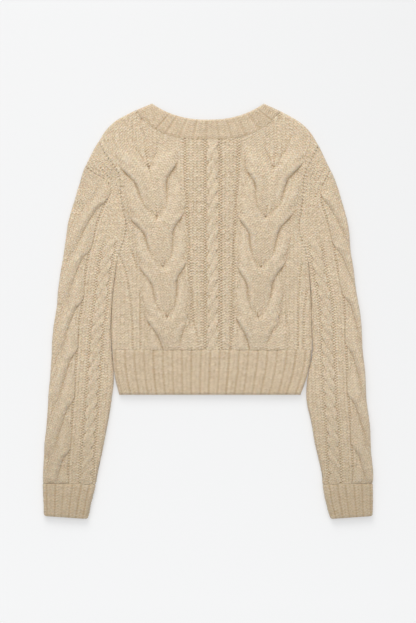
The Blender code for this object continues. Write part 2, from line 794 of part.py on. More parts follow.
def make_hem_front(side, knit):
    outer = smooth(column(HEM_SIDES, 0 if side == "left" else 1, 2))[::-1]
    outer[-1, 1] = HEM_SEAM_Y - SEAM_GAP / 2
    sign = -1 if side == "left" else 1
    band_x = BAND_MIDDLE + sign * (BAND_HALF + SEAM_GAP)
    band = np.array([(band_x, outer[0, 1]), (band_x, outer[-1, 1])])
    left, right = (outer, band) if side == "left" else (band, outer)
    bottom, top = np.array([left[0], right[0]]), np.array([left[-1], right[-1]])
    grid = patch(left, right, bottom, top, even(6), even(4))
    free = {side: 1, "bottom": 1}
    loops = [(inset_rim(grid, free, inset), z) for inset, z in FRONT_INSETS]
    slab("hem_front_" + side, grid, np.full(grid.shape[:2], FRONT_TOP), loops, knit)


def make_front_band(side, knit):
    """Half of the ribbed band. Where the two halves overlap the right one is the outer one."""
    bend = np.linspace(0, BAND_BEND_SHARE, BAND_BEND_ROWS)
    shares = np.concatenate([bend, np.linspace(BAND_BEND_SHARE, 1, BAND_ROWS_BELOW + 1)[1:]])
    seam = along(band_line(side, (0, 1)), shares)
    edge = along(band_line(side, (2, 3)), shares)
    grid = ruled(seam, edge, np.linspace(0, 1, BAND_COLUMNS))[::-1]
    if side == "right":
        grid = grid[:, ::-1]
    clear = np.clip((grid[..., 1] - OVERLAP_TOP_Y) / OVERLAP_RAMP, 0, 1)
    if side == "left":
        unders = (1 - clear) * (OUTER_BAND + LAYER_GAP)
        tops = np.full(unders.shape, FRONT_TOP)
    else:
        tops = OUTER_BAND + clear * (FRONT_TOP - OUTER_BAND)
        unders = np.zeros(tops.shape)
    return two_sided("front_band_" + side, grid, tops, unders, knit)


def make_buttons(outer_band, knit, horn):
    """Four-hole buttons, pressed up into the outer band until they are flush with it."""
    for number, y in enumerate(BUTTON_YS, 1):
        place = (BAND_MIDDLE * MM, y * MM, 0)
        button = turned_button(f"button_{number}", horn)
        button.location = place
        pocket = round_block(
            f"button_pocket_{number}",
            BUTTON_RADIUS + LAYER_GAP,
            -1.0,
            BUTTON_THICK + LAYER_GAP,
            knit,
        )
        pocket.location = place
        cut(outer_band, pocket)


def round_block(name, radius, low, high, material_, sides=BUTTON_SIDES):
    turn = np.linspace(0, 2 * np.pi, sides, endpoint=False)
    outline = radius * np.column_stack([np.cos(turn), np.sin(turn)])
    return prism(name, outline, low, high, material_)


def turned_button(name, horn):
    """A flat round button with a dished face and its edge turned over, face down."""
    profile = (
        # radius, height
        (BUTTON_RADIUS - 3.0, BUTTON_DOMING),
        (BUTTON_RADIUS - 2.0, 0.0),
        (BUTTON_RADIUS - 0.6, 0.0),
        (BUTTON_RADIUS, BUTTON_THICK),
    )
    sides = BUTTON_SIDES
    turn = np.linspace(0, 2 * np.pi, sides, endpoint=False)
    points = [(r * np.cos(a), r * np.sin(a), z) for r, z in profile for a in turn]
    faces = [tuple(reversed(range(sides))), tuple(range((len(profile) - 1) * sides, len(points)))]
    for ring in range(len(profile) - 1):
        for k in range(sides):
            a, b = ring * sides + k, ring * sides + (k + 1) % sides
            faces.append((a, b, b + sides, a + sides))
    button = make(name, points, faces, horn)
    for k in range(BUTTON_HOLES):
        angle = 2 * np.pi * (k + 0.5) / BUTTON_HOLES
        hole = round_block(
            f"{name}_hole_{k + 1}",
            BUTTON_HOLE_RADIUS,
            -1.0,
            BUTTON_THICK + 1.0,
            horn,
            BUTTON_HOLE_SIDES,
        )
        spread = BUTTON_HOLE_SPREAD * MM
        hole.location = (spread * np.cos(angle), spread * np.sin(angle), 0)
        hole.parent = button
        cut(button, hole)
    return button


def carry_on_origin():
    """Parents every piece to one empty that sets the garment's middle on the origin."""
    garment = bpy.data.objects.new("Cardigan", None)
    bpy.context.scene.collection.objects.link(garment)
    x, y = OUTLINE_MIDDLE
    garment.location = (-x * MM, -y * MM, 0)
    for obj in bpy.data.objects:
        if obj.parent is None and obj is not garment:
            obj.parent = garment


def main():
    for obj in list(bpy.data.objects):
        bpy.data.objects.remove(obj)
    knit = material("Oatmeal_knit", KNIT_COLOUR, 0.9)
    horn = material("Horn_button", BUTTON_COLOUR, 0.45)
    make_back(knit)
    make_hem_back(knit)
    make_neckband(knit)
    for side in ("left", "right"):
        make_sleeve(side, knit)
        make_cuff(side, knit)
        make_front(side, knit)
        make_hem_front(side, knit)
    make_front_band("left", knit)
    outer_band = make_front_band("right", knit)
    make_buttons(outer_band, knit, horn)
    carry_on_origin()


main()
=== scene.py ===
"""The looks of a cropped cable-knit cardigan that lies flat on its fronts with its back up.

Every stitch of the upper side is in the meshes: each is one knit V or one purl bump. Places are in
the garment's own millimetres, X to the right of the back, Y to the neck and Z up from the floor.
"""

import bpy
import numpy as np
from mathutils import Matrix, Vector


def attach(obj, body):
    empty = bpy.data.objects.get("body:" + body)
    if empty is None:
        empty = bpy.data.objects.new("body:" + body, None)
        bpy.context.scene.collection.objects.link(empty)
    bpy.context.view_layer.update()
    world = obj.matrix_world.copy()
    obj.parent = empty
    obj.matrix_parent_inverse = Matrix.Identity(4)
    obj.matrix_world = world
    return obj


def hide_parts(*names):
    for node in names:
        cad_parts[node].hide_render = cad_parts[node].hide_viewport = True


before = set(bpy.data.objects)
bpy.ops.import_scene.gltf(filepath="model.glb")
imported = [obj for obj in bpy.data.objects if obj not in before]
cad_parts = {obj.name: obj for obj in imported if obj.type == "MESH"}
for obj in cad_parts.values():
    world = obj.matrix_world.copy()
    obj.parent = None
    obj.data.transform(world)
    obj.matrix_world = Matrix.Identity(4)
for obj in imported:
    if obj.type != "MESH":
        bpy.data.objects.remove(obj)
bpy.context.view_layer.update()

MM = 0.001
# The middle of the garment's outline, which the frame has at its origin.
OUTLINE_MIDDLE = (-0.4, 1.0)

# The solids' layers, from the floor up
WALL, LAYER_GAP = 5.0, 0.3
FRONT_TOP = WALL
BACK_BOTTOM = FRONT_TOP + LAYER_GAP
BACK_TOP = BACK_BOTTOM + WALL
# How far apart two sewn edges are drawn, and how far one turns in
SEAM_GAP, SEAM_LIP = 0.04, -1.2

# The knit: the width of a wale, the height of a course, how far a stitch stands up, and the height
# in a plain stitch that its relief is counted from
WALE = 6.9
COURSE = 4.6
STITCH = 1.0
STITCH_MIDDLE = 0.4
# The relief of plain and purl stitches, and how much more the back's middle columns have
BACK_PLAIN, BACK_PURL = 1.7, 2.2
LIVELY_PLAIN, LIVELY_PURL = 0.9, 1.0
SLEEVE_PLAIN, SLEEVE_PURL = 2.0, 2.6
GUTTER_DROP = 1.0

# What belongs to a side: its sign, and its columns in a table that holds both
SIGN = {"left": -1, "right": 1}
SIDE_COLUMNS = {"left": (0, 1), "right": (2, 3)}

ARMPIT_Y = 96.0
HEM_SEAM_Y = -65.0
BODY_SIDES = (
    # left x, left y, right x, right y, from the hem seam up the side seams and the armholes
    (-164.0, -65.0, 178.0, -65.0),
    (-165.5, -31.0, 177.5, -31.0),
    (-163.5, 20.0, 176.0, 20.0),
    (-158.5, 63.0, 173.5, 63.0),
    (-154.0, 96.0, 169.5, 96.0),
    (-144.5, 123.0, 161.0, 123.0),
    (-140.0, 149.0, 156.0, 149.0),
    (-145.0, 172.0, 160.0, 172.0),
    (-149.5, 200.0, 163.0, 200.0),
    (-152.0, 232.0, 164.5, 230.0),
    (-163.0, 252.0, 173.0, 251.0),
    (-178.0, 273.0, 184.0, 272.0),
    (-187.0, 292.0, 190.0, 284.0),
)
SHOULDERS = (
    # left x, left y, right x, right y, from the armhole to the neck seam
    (-187.0, 292.0, 190.0, 284.0),
    (-176.0, 310.0, 176.0, 307.0),
    (-160.0, 326.0, 160.0, 323.0),
    (-142.0, 336.5, 142.0, 334.5),
    (-125.0, 345.0, 124.0, 344.0),
)
NECK_SEAM_DEPTH, NECK_SEAM_BOW = 49.0, 3.3
NECK_POINT = (96.0, 357.0)
NECK_EDGE_DEPTH, NECK_EDGE_BOW = 27.5, 2.35

SLEEVES = {
    "left": (
        # fold x, fold y, inner x, inner y, from the shoulder to the cuff seam
        (-187.8, 291.4, -187.0, 291.0),
        (-195.0, 280.0, -178.0, 273.0),
        (-205.0, 260.0, -163.0, 252.0),
        (-214.5, 239.0, -152.0, 232.0),
        (-225.5, 200.0, -149.5, 200.0),
        (-234.5, 173.0, -145.0, 172.0),
        (-240.5, 148.0, -140.0, 149.0),
        (-243.5, 121.0, -144.5, 123.0),
        (-248.0, 94.0, -154.0, 96.0),
        (-254.5, 56.0, -158.7, 63.0),
        (-258.5, 13.0, -163.6, 20.0),
        (-265.0, -28.0, -165.6, -31.0),
        (-267.5, -69.0, -164.4, -69.0),
        (-270.5, -110.0, -161.5, -115.0),
        (-273.5, -151.0, -165.5, -151.0),
        (-276.5, -192.0, -172.0, -192.0),
        (-280.0, -233.0, -180.0, -233.0),
        (-282.5, -274.0, -188.5, -274.0),
        (-283.0, -294.0, -193.0, -296.0),
    ),
    "right": (
        (190.7, 283.3, 189.9, 282.9),
        (196.0, 272.0, 184.0, 272.0),
        (206.0, 251.0, 173.0, 251.0),
        (216.0, 230.0, 164.5, 230.0),
        (226.0, 200.0, 163.0, 200.0),
        (234.0, 173.0, 160.0, 172.0),
        (239.0, 148.0, 156.0, 149.0),
        (242.5, 121.0, 161.0, 123.0),
        (245.0, 94.0, 169.5, 96.0),
        (250.5, 56.0, 173.7, 63.0),
        (257.0, 13.0, 176.2, 20.0),
        (262.0, -28.0, 177.7, -31.0),
        (265.0, -69.0, 178.6, -69.0),
        (268.5, -110.0, 170.5, -115.0),
        (271.5, -151.0, 169.0, -151.0),
        (276.0, -192.0, 177.5, -192.0),
        (279.0, -233.0, 185.0, -233.0),
        (282.0, -274.0, 194.5, -274.0),
        (282.0, -294.0, 196.5, -296.0),
    ),
}
CUFFS = {
    # Below the seam, which is the sleeve's last row
    "left": (
        (-281.5, -322.0, -200.5, -325.0),
        (-280.5, -350.0, -207.0, -355.0),
    ),
    "right": (
        (282.0, -322.0, 202.0, -325.0),
        (281.5, -350.0, 210.5, -355.0),
    ),
}
HEM_SIDES = (
    # left x, right x, y
    (-164.0, 178.0, -65.0),
    (-163.0, 175.0, -90.0),
    (-158.0, 167.0, -120.0),
    (-152.0, 158.5, -142.5),
)
# Ribs, and how far into a rib the first edge lies
HEM_RIBS, HEM_RIB_START = 21, 0.64
CUFF_RIBS, CUFF_RIB_START = 6.5, {"left": 0.34, "right": 0.48}
BAND_RIBS, FRONT_HEM_RIBS = 3, 9
# The columns of a mesh across one rib
RIB_COLUMNS = 8
# The purl gaps of the neckband, halfway up it; its ends are plain.
NECK_GAPS = (-78.0, -63.5, -43.0, -23.0, -3.0, 17.0, 36.0, 57.0, 78.0, 97.0)
RIB_RAISE = 1.2
# The relief of a rib's plain and purl stitches, and how much darker all of it is
RIB_PLAIN, RIB_PURL, RIB_SHADE = 1.3, 0.8, 0.12
# A gap's edge, as a cosine of the turn, and its slope there; its least depth, what its lot adds to
# that, and the lot
GAP_EDGE, GAP_SLOPE = 0.93, 0.45
GAP_DEPTH, GAP_SPREAD, GAP_LOT = 0.75, 0.6, 7

BAND_MIDDLE, BAND_HALF = 3.0, 17.5
BAND_ROWS = (
    # seam x, seam y, edge x, edge y, out from the middle of the fronts
    (124.5, 343.5, 96.5, 356.0),
    (104.0, 294.0, 72.0, 309.0),
    (66.0, 208.0, 34.0, 222.0),
    (34.0, 136.0, 2.0, 150.0),
    (19.5, 84.0, -15.5, 96.0),
    (17.5, 50.0, -17.5, 52.0),
    (17.5, -46.0, -17.5, -46.0),
    (17.5, -142.5, -17.5, -142.5),
)
# Where the two bands lap, the right one is the outer one.
OUTER_BAND, OVERLAP_TOP_Y, OVERLAP_RAMP = 2.9, 150.0, 24.0
BUTTON_YS = (-124.0, -74.0, -24.0, 26.0, 76.0)
# The hollow that a button lies in
POCKET_RADIUS, POCKET_DEPTH, POCKET_EDGE = 9.3, 2.1, 1.6

# Cables. The height is in shares of the raise, and the edges are places from the middle line (0)
# to the cable's side (1).
REPEAT = 85.5
CABLE_RAISE, SLEEVE_RAISE = 5.4, 5.0
STRAND_DROP, SLEEVE_DROP = 3.4, 3.6
STRAND_WALES, STRAND_STITCH = 5, 1.5 * STITCH
# The places that a strand's edges are worked out at
STRAND_SAMPLES = 1200
STRAND_COURSE = (
    # repeats from the point of the V, inner edge, outer edge, height
    (-0.68, 0.45, 0.99, 0.42),
    (-0.41, 0.37, 1.03, 0.70),
    (-0.20, 0.22, 0.96, 0.96),
    (0.00, 0.02, 0.80, 1.00),
    (0.15, -0.10, 0.60, 1.00),
    (0.27, -0.14, 0.46, 0.98),
    (0.50, -0.16, 0.43, 0.88),
    (0.75, -0.14, 0.45, 0.66),
    (0.88, -0.12, 0.52, 0.42),
    (1.00, -0.04, 0.64, 0.20),
    (1.15, 0.28, 0.88, 0.12),
)
CABLE_V_Y, LAST_V_Y = 248.0, -22.0
# How far up the back's cables reach, and over what length they flatten out below that
CABLE_END_Y, CABLE_END_FADE = 294.0, 46.0
# Above the topmost V: where the inner strands end, over what length, and the outer ones' height
CROWN_END, CROWN_FADE, CROWN_HEIGHT = 8.0, 14.0, 0.7
# Below the last V: how far the strands draw in, and how the right arm runs out flat
FOOT_DRAW, FOOT_LENGTH = 0.2, 40.0
ARM_END, ARM_FADE, ARM_SPREAD = 16.0, 18.0, 0.35
# How much later than the right arm a cable's left arm turns in, in repeats
LEFT_ARM_LAG = 0.09
CABLES = {
    "left": (
        # y, middle x, half width
        (340.0, -113.0, 62.0),
        (296.0, -107.0, 58.0),
        (248.0, -101.0, 55.0),
        (159.0, -87.0, 53.0),
        (75.0, -77.0, 45.0),
        (-9.0, -70.0, 42.0),
        (-66.0, -66.0, 41.0),
    ),
    "right": (
        (340.0, 124.0, 62.0),
        (296.0, 118.0, 58.0),
        (248.0, 113.0, 55.0),
        (164.0, 99.0, 53.0),
        (78.0, 91.0, 46.0),
        (-7.0, 86.0, 43.0),
        (-66.0, 82.0, 41.0),
    ),
}
# A sleeve's cable runs along the fold on the outside of the arm.
SLEEVE_CABLE_HALF = 46.0
SLEEVE_CABLE_END_Y, SLEEVE_CABLE_FADE = 252.0, 70.0
SLEEVE_COURSE = (
    # repeats from the notch where a strand comes out at the side, inner edge, outer edge, height
    (-0.40, 0.50, 1.00, 0.60),
    (-0.20, 0.46, 1.02, 0.85),
    (0.00, 0.38, 1.02, 1.00),
    (0.06, 0.35, 0.90, 1.00),
    (0.14, 0.31, 0.79, 1.00),
    (0.28, 0.22, 0.71, 1.00),
    (0.50, 0.10, 0.63, 0.92),
    (0.72, 0.00, 0.54, 0.76),
    (0.95, -0.08, 0.50, 0.45),
    (1.10, -0.05, 0.50, 0.10),
    (1.20, 0.15, 0.65, -0.20),
    (1.30, 0.35, 0.85, 0.00),
    (1.45, 0.50, 0.98, 0.35),
)
SLEEVE_NOTCH_Y = {"left": 105.0, "right": 114.0}
SLEEVE_BOUNDS = {
    # y, then how far the cable's edge lies from the fold
    "left": (
        (249.0, -8.0), (236.5, 24.0), (216.0, 58.0), (187.0, 55.0), (148.0, 49.0), (104.0, 43.0),
        (-300.0, 43.0),
    ),
    "right": (
        (248.0, -8.0), (226.0, 18.0), (193.0, 37.0), (120.0, 28.0), (29.0, 23.0), (-60.0, 28.0),
        (-150.0, 31.0), (-300.0, 34.0),
    ),
}
# How much longer a fold is round its curve than seen from above
FOLD_EXTRA = 2.95
# Inwards from the cable's edge: a gutter, the rope and a second gutter
FIRST_GUTTER, SLEEVE_ROPE_AT, SECOND_GUTTER = 20.5, 31.5, 42.0
SLEEVE_ROPE_TOP = 128.0
# Purl lines beside the armhole, their distances from its seam
CAP_LINES, CAP_LINE_HALF, CAP_LINES_END = (6.0, 13.0, 20.0, 27.0), 2.6, 118.0

# Ropes: half the width, the length of half a turn, and how far each stands up
ROPE_HALF, ROPE_TWIST, SLEEVE_ROPE_TWIST = 9.5, 25.5, 23.0
ROPE_RAISE, SLEEVE_ROPE_RAISE = 1.6, 1.4
# A height above the whole garment, for a rope that doesn't end below its seam
NO_END = 400.0
# How far a rope's strand swings and its half width, in half ropes, then its wales and stitches
ROPE_SWING, ROPE_STRAND_HALF = 0.42, 0.64
ROPE_WALES, ROPE_STITCH = 2, 1.4 * STITCH
BACK_ROPE = ((340.0, 7.5), (-66.0, 8.0))
GUTTERS = (
    # y, then the middle x of each purl gutter of the back
    (300.0, -41.0, -5.0, 21.0, 54.0),
    (170.0, -36.0, -5.0, 21.0, 47.5),
    (80.0, -32.0, -5.0, 21.0, 44.0),
    (-66.0, -24.0, -5.0, 21.0, 40.0),
)
GUTTER_HALF = 3.6
SIDE_LINES = (
    # Single purl lines in the back's side panels: x and y, from the top down
    ((-154.0, 102.0), (-141.0, 71.5), (-133.5, 30.0), (-130.0, -14.0), (-129.0, -66.0)),
    ((-133.5, 111.0), (-122.4, 80.0)),
    ((-116.4, 37.0), (-116.4, -58.0)),
    ((134.4, 4.0), (134.4, -66.0)),
    ((160.0, 84.0), (155.0, 30.0), (154.0, -66.0)),
    ((170.0, 40.0), (164.0, 0.0), (163.0, -66.0)),
)
SIDE_LINE_HALF = 2.3

# Seams: how deep each is drawn in, the hem's on the back and on the hem, then how far apart its
# stitches are and how wide its trough is
ARMHOLE_DIP, NECK_DIP, HEM_DIP, HEM_TOP_DIP = 1.3, 0.5, 0.6, 0.8
SEAM_STITCH, SEAM_WIDTH = 5.9, 2.6
# The shade along the neck's seam
NECK_SHADE, NECK_SHADE_HALF = 0.25, 2.4
# The back's folded sides: how high above its underside they end, how far in they curve down, and
# the shade in the crease beside them
FOLD_HEIGHT, FOLD_CURVE = 3.8, 8.0
FOLD_SHADE, FOLD_SHADE_HALF = 0.2, 3.5
SHOULDER_CURVE = 4.5
# How far in the back hem's edges curve, then the other free edges, and the height at which the back
# hem's and the neckband's edges end
HEM_CURVE, EDGE_CURVE = 5.0, 4.0
EDGE_BOTTOM = BACK_BOTTOM + 0.3
# Over what length a sleeve's relief starts or ends, and a rib rises from its seam
SLEEVE_FADE, RIB_FADE = 14.0, 9.0
# The fronts' undersides: how far their edges curve up, and how deep the gaps between ribs are
FRONT_FOLD_RISE, FRONT_TOP_RISE, FRONT_HEM_RISE = 2.6, 2.0, 2.2
FRONT_HEM_GAP, FRONT_BAND_GAP = 1.2, 0.9
# A cuff's end: how far it curves in, and its inside, measured round it and into it
CUFF_LIP, CUFF_WALL, CUFF_INSIDE = 1.6, 4.0, 3.6
EYELETS = (
    # Rows of small holes between stitches: x and y of the first, of the last, and the depth
    ((-107.5, 274.0), (-99.5, 238.0), 1.7),
    ((-104.0, 262.0), (-98.0, 232.0), 1.0),
    ((-88.5, 182.0), (-87.5, 160.0), 1.2),
    ((-77.5, 92.0), (-77.0, 76.0), 0.9),
    ((113.0, 262.0), (113.0, 240.0), 0.9),
    ((101.0, 180.0), (99.5, 160.0), 1.1),
    ((92.0, 92.0), (91.0, 76.0), 0.9),
    ((-184.0, 246.0), (-157.0, 216.0), 1.6),
    ((200.0, 224.0), (184.0, 197.0), 1.6),
    ((194.0, 236.0), (176.0, 206.0), 1.0),
)
EYELET_STEP, EYELET_HALF = 4.4, 1.7
CREASES = (
    # x, y at one end, the middle and the other end, then depth and width
    ((-149.0, 192.0), (-138.5, 148.0), (-150.0, 104.0), -2.0, 5.0),
    ((165.0, 200.0), (157.0, 165.0), (160.0, 120.0), -1.8, 5.0),
    ((-150.0, 60.0), (-130.0, 30.0), (-118.0, -10.0), -0.7, 9.0),
    ((166.0, 70.0), (150.0, 45.0), (140.0, 5.0), -0.6, 9.0),
)


# Lines and grids


def smooth(points, steps=10):
    """A smooth curve through the points."""
    p = np.asarray(points, float)
    p = np.vstack([2 * p[0] - p[1], p, 2 * p[-1] - p[-2]])
    t = np.linspace(0, 1, steps, endpoint=False)[:, None]
    spans = []
    for a, b, c, d in zip(p, p[1:], p[2:], p[3:]):
        bend = 2 * a - 5 * b + 4 * c - d
        twist = 3 * b - 3 * c + d - a
        spans.append(b + 0.5 * ((c - a) * t + bend * t**2 + twist * t**3))
    return np.vstack(spans + [p[-2:-1]])


def reach(line):
    """How far along its line each point is."""
    steps = np.linalg.norm(np.diff(line, axis=0), axis=1)
    return np.concatenate([[0], np.cumsum(steps)])


def along(line, shares):
    """The places at these shares of a line's length."""
    far = reach(line)
    return np.column_stack([np.interp(shares, far / far[-1], c) for c in line.T])


def beside(line, distance):
    """The line moved to its left by the distance."""
    ahead = np.gradient(line, axis=0)
    ahead /= np.linalg.norm(ahead, axis=1)[:, None]
    return line + distance * np.column_stack([-ahead[:, 1], ahead[:, 0]])


def column(table, *names):
    """These columns of a table."""
    return np.asarray([[row[i] for i in names] for row in table], float)


def between(table, y):
    """The columns after the first, at these y, of a table whose first column falls."""
    table = np.asarray(table, float)[::-1]
    return [np.interp(y, table[:, 0], c) for c in table.T[1:]]


def patch(left, right, bottom, top, across, up):
    """A grid of places stretched between four edges, rows by columns."""
    s, t = across[None, :, None], up[:, None, None]
    sides = (1 - s) * along(left, up)[:, None] + s * along(right, up)[:, None]
    low, high = along(bottom, across)[None], along(top, across)[None]
    corners = (1 - s) * ((1 - t) * low[:, :1] + t * high[:, :1])
    corners = corners + s * ((1 - t) * low[:, -1:] + t * high[:, -1:])
    return sides + (1 - t) * low + t * high - corners


def even(count):
    """0 to 1 in equal steps."""
    return np.linspace(0, 1, count + 1)


def ease(x):
    """0 to 1 with a soft start and end."""
    x = np.clip(x, 0, 1)
    return x * x * (3 - 2 * x)


def rolled(distance, radius):
    """How much of its height a wall has at this distance from a rounded edge."""
    inside = np.clip(1 - distance / radius, 0, 1)
    return np.sqrt(1 - inside**2)


def rolled_over(heights, grid, lines, radius, least):
    """The heights, which fall to the least at each of these free edges."""
    for line in lines:
        away, _ = distance_to(grid, line)
        heights = least + (heights - least) * rolled(away, radius)
    return heights


def distance_to(places, line):
    """How far each place is from a line, and how far along the line its nearest point is."""
    flat = places.reshape(-1, 2)
    best = np.full(len(flat), 1e9)
    at = np.zeros(len(flat))
    far = reach(line)
    for k, (a, b) in enumerate(zip(line[:-1], line[1:])):
        run = b - a
        length = max(np.linalg.norm(run), 1e-9)
        share = np.clip(((flat - a) @ run) / length**2, 0, 1)
        away = np.linalg.norm(flat - a - share[:, None] * run, axis=1)
        nearer = away < best
        best = np.where(nearer, away, best)
        at = np.where(nearer, far[k] + share * length, at)
    shape = places.shape[:-1]
    return best.reshape(shape), at.reshape(shape)


# Knit


YARN_LOTS = np.random.default_rng(7).random((61, 211))


def uneven(wale, course):
    """A number from 0 to 1 for each stitch, as no two are pulled alike."""
    wales, courses = YARN_LOTS.shape
    return YARN_LOTS[np.floor(wale).astype(int) % wales, np.floor(course).astype(int) % courses]


def stockinette(wale, course, groove):
    """Knit stitches, each a V: about 0 in a groove to 1 on a leg."""
    leg = np.abs(2 * (wale % 1) - 1)
    lift = 0.5 + 0.5 * np.cos(np.pi * leg) - 0.25 * np.clip(1 - leg / 0.4, 0, 1)
    turn = course - 0.8 * leg
    slant = 0.5 + 0.5 * np.cos(2 * np.pi * turn)
    legs = (0.8 - groove) * slant * (1 - (0.15 + 1.3 * groove) * (1 - lift))
    return lift * groove + legs + 0.45 * (uneven(wale, turn + 0.5) - 0.5)


def purl(wale, course):
    """Purl bumps, each row set half a stitch over: about 0 between two to 1 on one."""
    bump = np.cos(2 * np.pi * course) * np.cos(2 * np.pi * wale)
    return 0.5 + 0.5 * bump + 0.3 * (uneven(wale, course) - 0.5)


# Meshes


def new_object(name, data):
    """A new object in the scene."""
    obj = bpy.data.objects.new(name, data)
    bpy.context.scene.collection.objects.link(obj)
    return obj


def rims(index):
    """The four edges of a grid of indices, one after the other round it."""
    return index[0], index[:, -1], index[-1, ::-1], index[::-1, 0]


class Part:
    """Points, quads and stitch places of one piece, gathered before its mesh is made."""

    def __init__(self):
        self.points, self.quads, self.triangles, self.stitches, self.painted_shades = [], [], [], [], []
        self.count = 0

    def grid(self, points, stitches, painted_shade, flip=False):
        """A grid of points, rows by columns."""
        rows, columns = points.shape[:2]
        index = np.arange(rows * columns).reshape(rows, columns) + self.count
        quads = np.stack(
            [index[:-1, :-1], index[:-1, 1:], index[1:, 1:], index[1:, :-1]], axis=-1
        ).reshape(-1, 4)
        self.quads.append(quads[:, ::-1] if flip else quads)
        self.points.append(points.reshape(-1, 3))
        self.stitches.append(np.broadcast_to(stitches, (rows, columns, 2)).reshape(-1, 2))
        self.painted_shades.append(np.broadcast_to(painted_shade, (rows, columns)).reshape(-1))
        self.count += rows * columns
        return index

    def close(self, fine, coarse, flip=False):
        """The wall between the rims of two grids over each other, the first with more points."""
        for many, few in zip(rims(fine), rims(coarse)):
            share = np.linspace(0, len(few) - 1, len(many))
            turn = np.ceil(share - 0.5 - 1e-9).astype(int)
            next_turn = turn[1:]
            step = next_turn != turn[:-1]
            walls = np.concatenate([
                np.stack([many[:-1], many[1:], few[next_turn]], axis=-1),
                np.stack([many[:-1][step], few[next_turn][step], few[turn[:-1]][step]], axis=-1),
            ])
            self.triangles.append(walls if flip else walls[:, ::-1])

    def make(self, name, node, material):
        """The piece's object, which is shown instead of the node's solid."""
        points = np.vstack(self.points) - [OUTLINE_MIDDLE[0], OUTLINE_MIDDLE[1], 0]
        quads = np.vstack(self.quads).astype(np.int32)
        triangles = np.vstack([*self.triangles, np.zeros((0, 3), int)]).astype(np.int32)
        corners = np.concatenate([quads.ravel(), triangles.ravel()])
        starts = np.concatenate([
            np.arange(0, quads.size, 4), quads.size + np.arange(0, triangles.size, 3)
        ]).astype(np.int32)
        mesh = bpy.data.meshes.new(name)
        mesh.vertices.add(len(points))
        mesh.vertices.foreach_set("co", (points * MM).astype(np.float32).ravel())
        mesh.loops.add(corners.size)
        mesh.loops.foreach_set("vertex_index", corners)
        mesh.polygons.add(len(starts))
        mesh.polygons.foreach_set("loop_start", starts)
        mesh.update(calc_edges=True)
        layer = mesh.uv_layers.new(name="stitches")
        stitches = np.vstack(self.stitches).astype(np.float32)
        layer.uv.foreach_set("vector", stitches[corners].ravel())
        # The share of painted shade at each point, which darkens the yarn's colour.
        painted_shade = mesh.attributes.new("painted_shade", "FLOAT", "POINT")
        painted_shade.data.foreach_set("value", np.concatenate(self.painted_shades).astype(np.float32))
        mesh.validate()
        mesh.shade_smooth()
        mesh.set_sharp_from_angle(angle=np.radians(65))
        mesh.materials.append(material)
        obj = new_object(name, mesh)
        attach(obj, "root")
        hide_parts(node)
        return obj


def with_height(places, heights):
    return np.concatenate([places, np.broadcast_to(heights, places.shape[:-1])[..., None]], axis=-1)


class Surface:
    """A sheet's knit: how high its cloth lies, how far the stitches stand up from that, and which
    stitch each point is in. What is laid over it shows where it is higher, with a soft join."""

    JOIN = 0.4
    # The height of what doesn't lie at a place, well below everything
    NONE = -20.0
    # The height that raised knit is flattened down to
    BASE = 0.4

    def __init__(self, height, stitch, wale, course):
        self.height, self.stitch, self.wale, self.course = height, stitch, wale, course

    def stitches(self):
        return np.stack([self.wale, self.course], axis=-1)

    def lay(self, height, stitch, wale, course):
        over = height > self.height
        self.stitch = np.where(over, stitch, self.stitch)
        self.wale = np.where(over, wale, self.wale)
        self.course = np.where(over, course, self.course)
        self.height = self.JOIN * np.logaddexp(self.height / self.JOIN, height / self.JOIN)

    def fade(self, share):
        """Flattens what stands above the base to a share of its height."""
        over = np.maximum(self.height - self.BASE, 0)
        self.height = self.height - over * (1 - share)


def course_at(table, phase):
    """The columns of a strand's course, which repeats after two repeats of the cable."""
    table = np.asarray(table)
    shift = np.array([2] + [0] * (table.shape[1] - 1))
    table = np.vstack([table - shift, table, table + shift])
    near = (-0.08, -0.04, 0, 0.04, 0.08)
    return [
        sum(np.interp(phase + n, table[:, 0], c) for n in near) / len(near) for c in table.T[1:]
    ]


def lay_strand(
    surface, x, y, ys, inner, outer, tops, depth, wales, amplitude, soft, blend=0.0, merged=0.0
):
    """Lays a strand between two edges, given along ys, over the surface. Where it is blended its
    outer edge runs out flat, and where it is merged its inner edge goes on into its twin's."""
    left, right = np.minimum(inner, outer), np.maximum(inner, outer)
    turned = inner > outer
    middle = (left + right) / 2
    run = np.gradient(middle, ys)
    length = np.concatenate([[0], np.cumsum(np.hypot(np.diff(middle), np.diff(ys)))])
    left, right, middle, run, length, tops, turned = (
        np.interp(y, ys, c) for c in (left, right, middle, run, length, tops, turned)
    )
    lean = 1 / np.hypot(1, run)
    inner_away = np.where(turned > 0.5, right - x, x - left) * lean
    outer_away = np.where(turned > 0.5, x - left, right - x) * lean
    lasting = np.interp(y, ys, np.broadcast_to(blend, ys.shape))
    merged = np.interp(y, ys, np.broadcast_to(merged, ys.shape))
    crown_in = merged + (1 - merged) * ease(inner_away / soft)
    steep = 0.3 * rolled(outer_away, 4.0) + 0.7 * ease(outer_away / 7)
    crown_out = (1 - lasting) * steep + lasting * ease(outer_away / 16)
    depth = depth * (0.4 + 0.6 * np.clip(tops / tops.max(), 0, 1))
    outer_depth = (1 - lasting) * depth + lasting * (np.maximum(tops, 0) + 0.5)
    wale = wales * (x - left) / np.maximum(right - left, 1)
    course = (length + (x - middle) * run * lean) / COURSE
    knit = amplitude * (stockinette(wale, course, 0.06) - STITCH_MIDDLE)
    height = tops - depth * (1 - crown_in) - outer_depth * (1 - crown_out)
    inside = (inner_away > 0) & (outer_away > 0)
    surface.lay(np.where(inside, height, Surface.NONE), knit, wale, course)


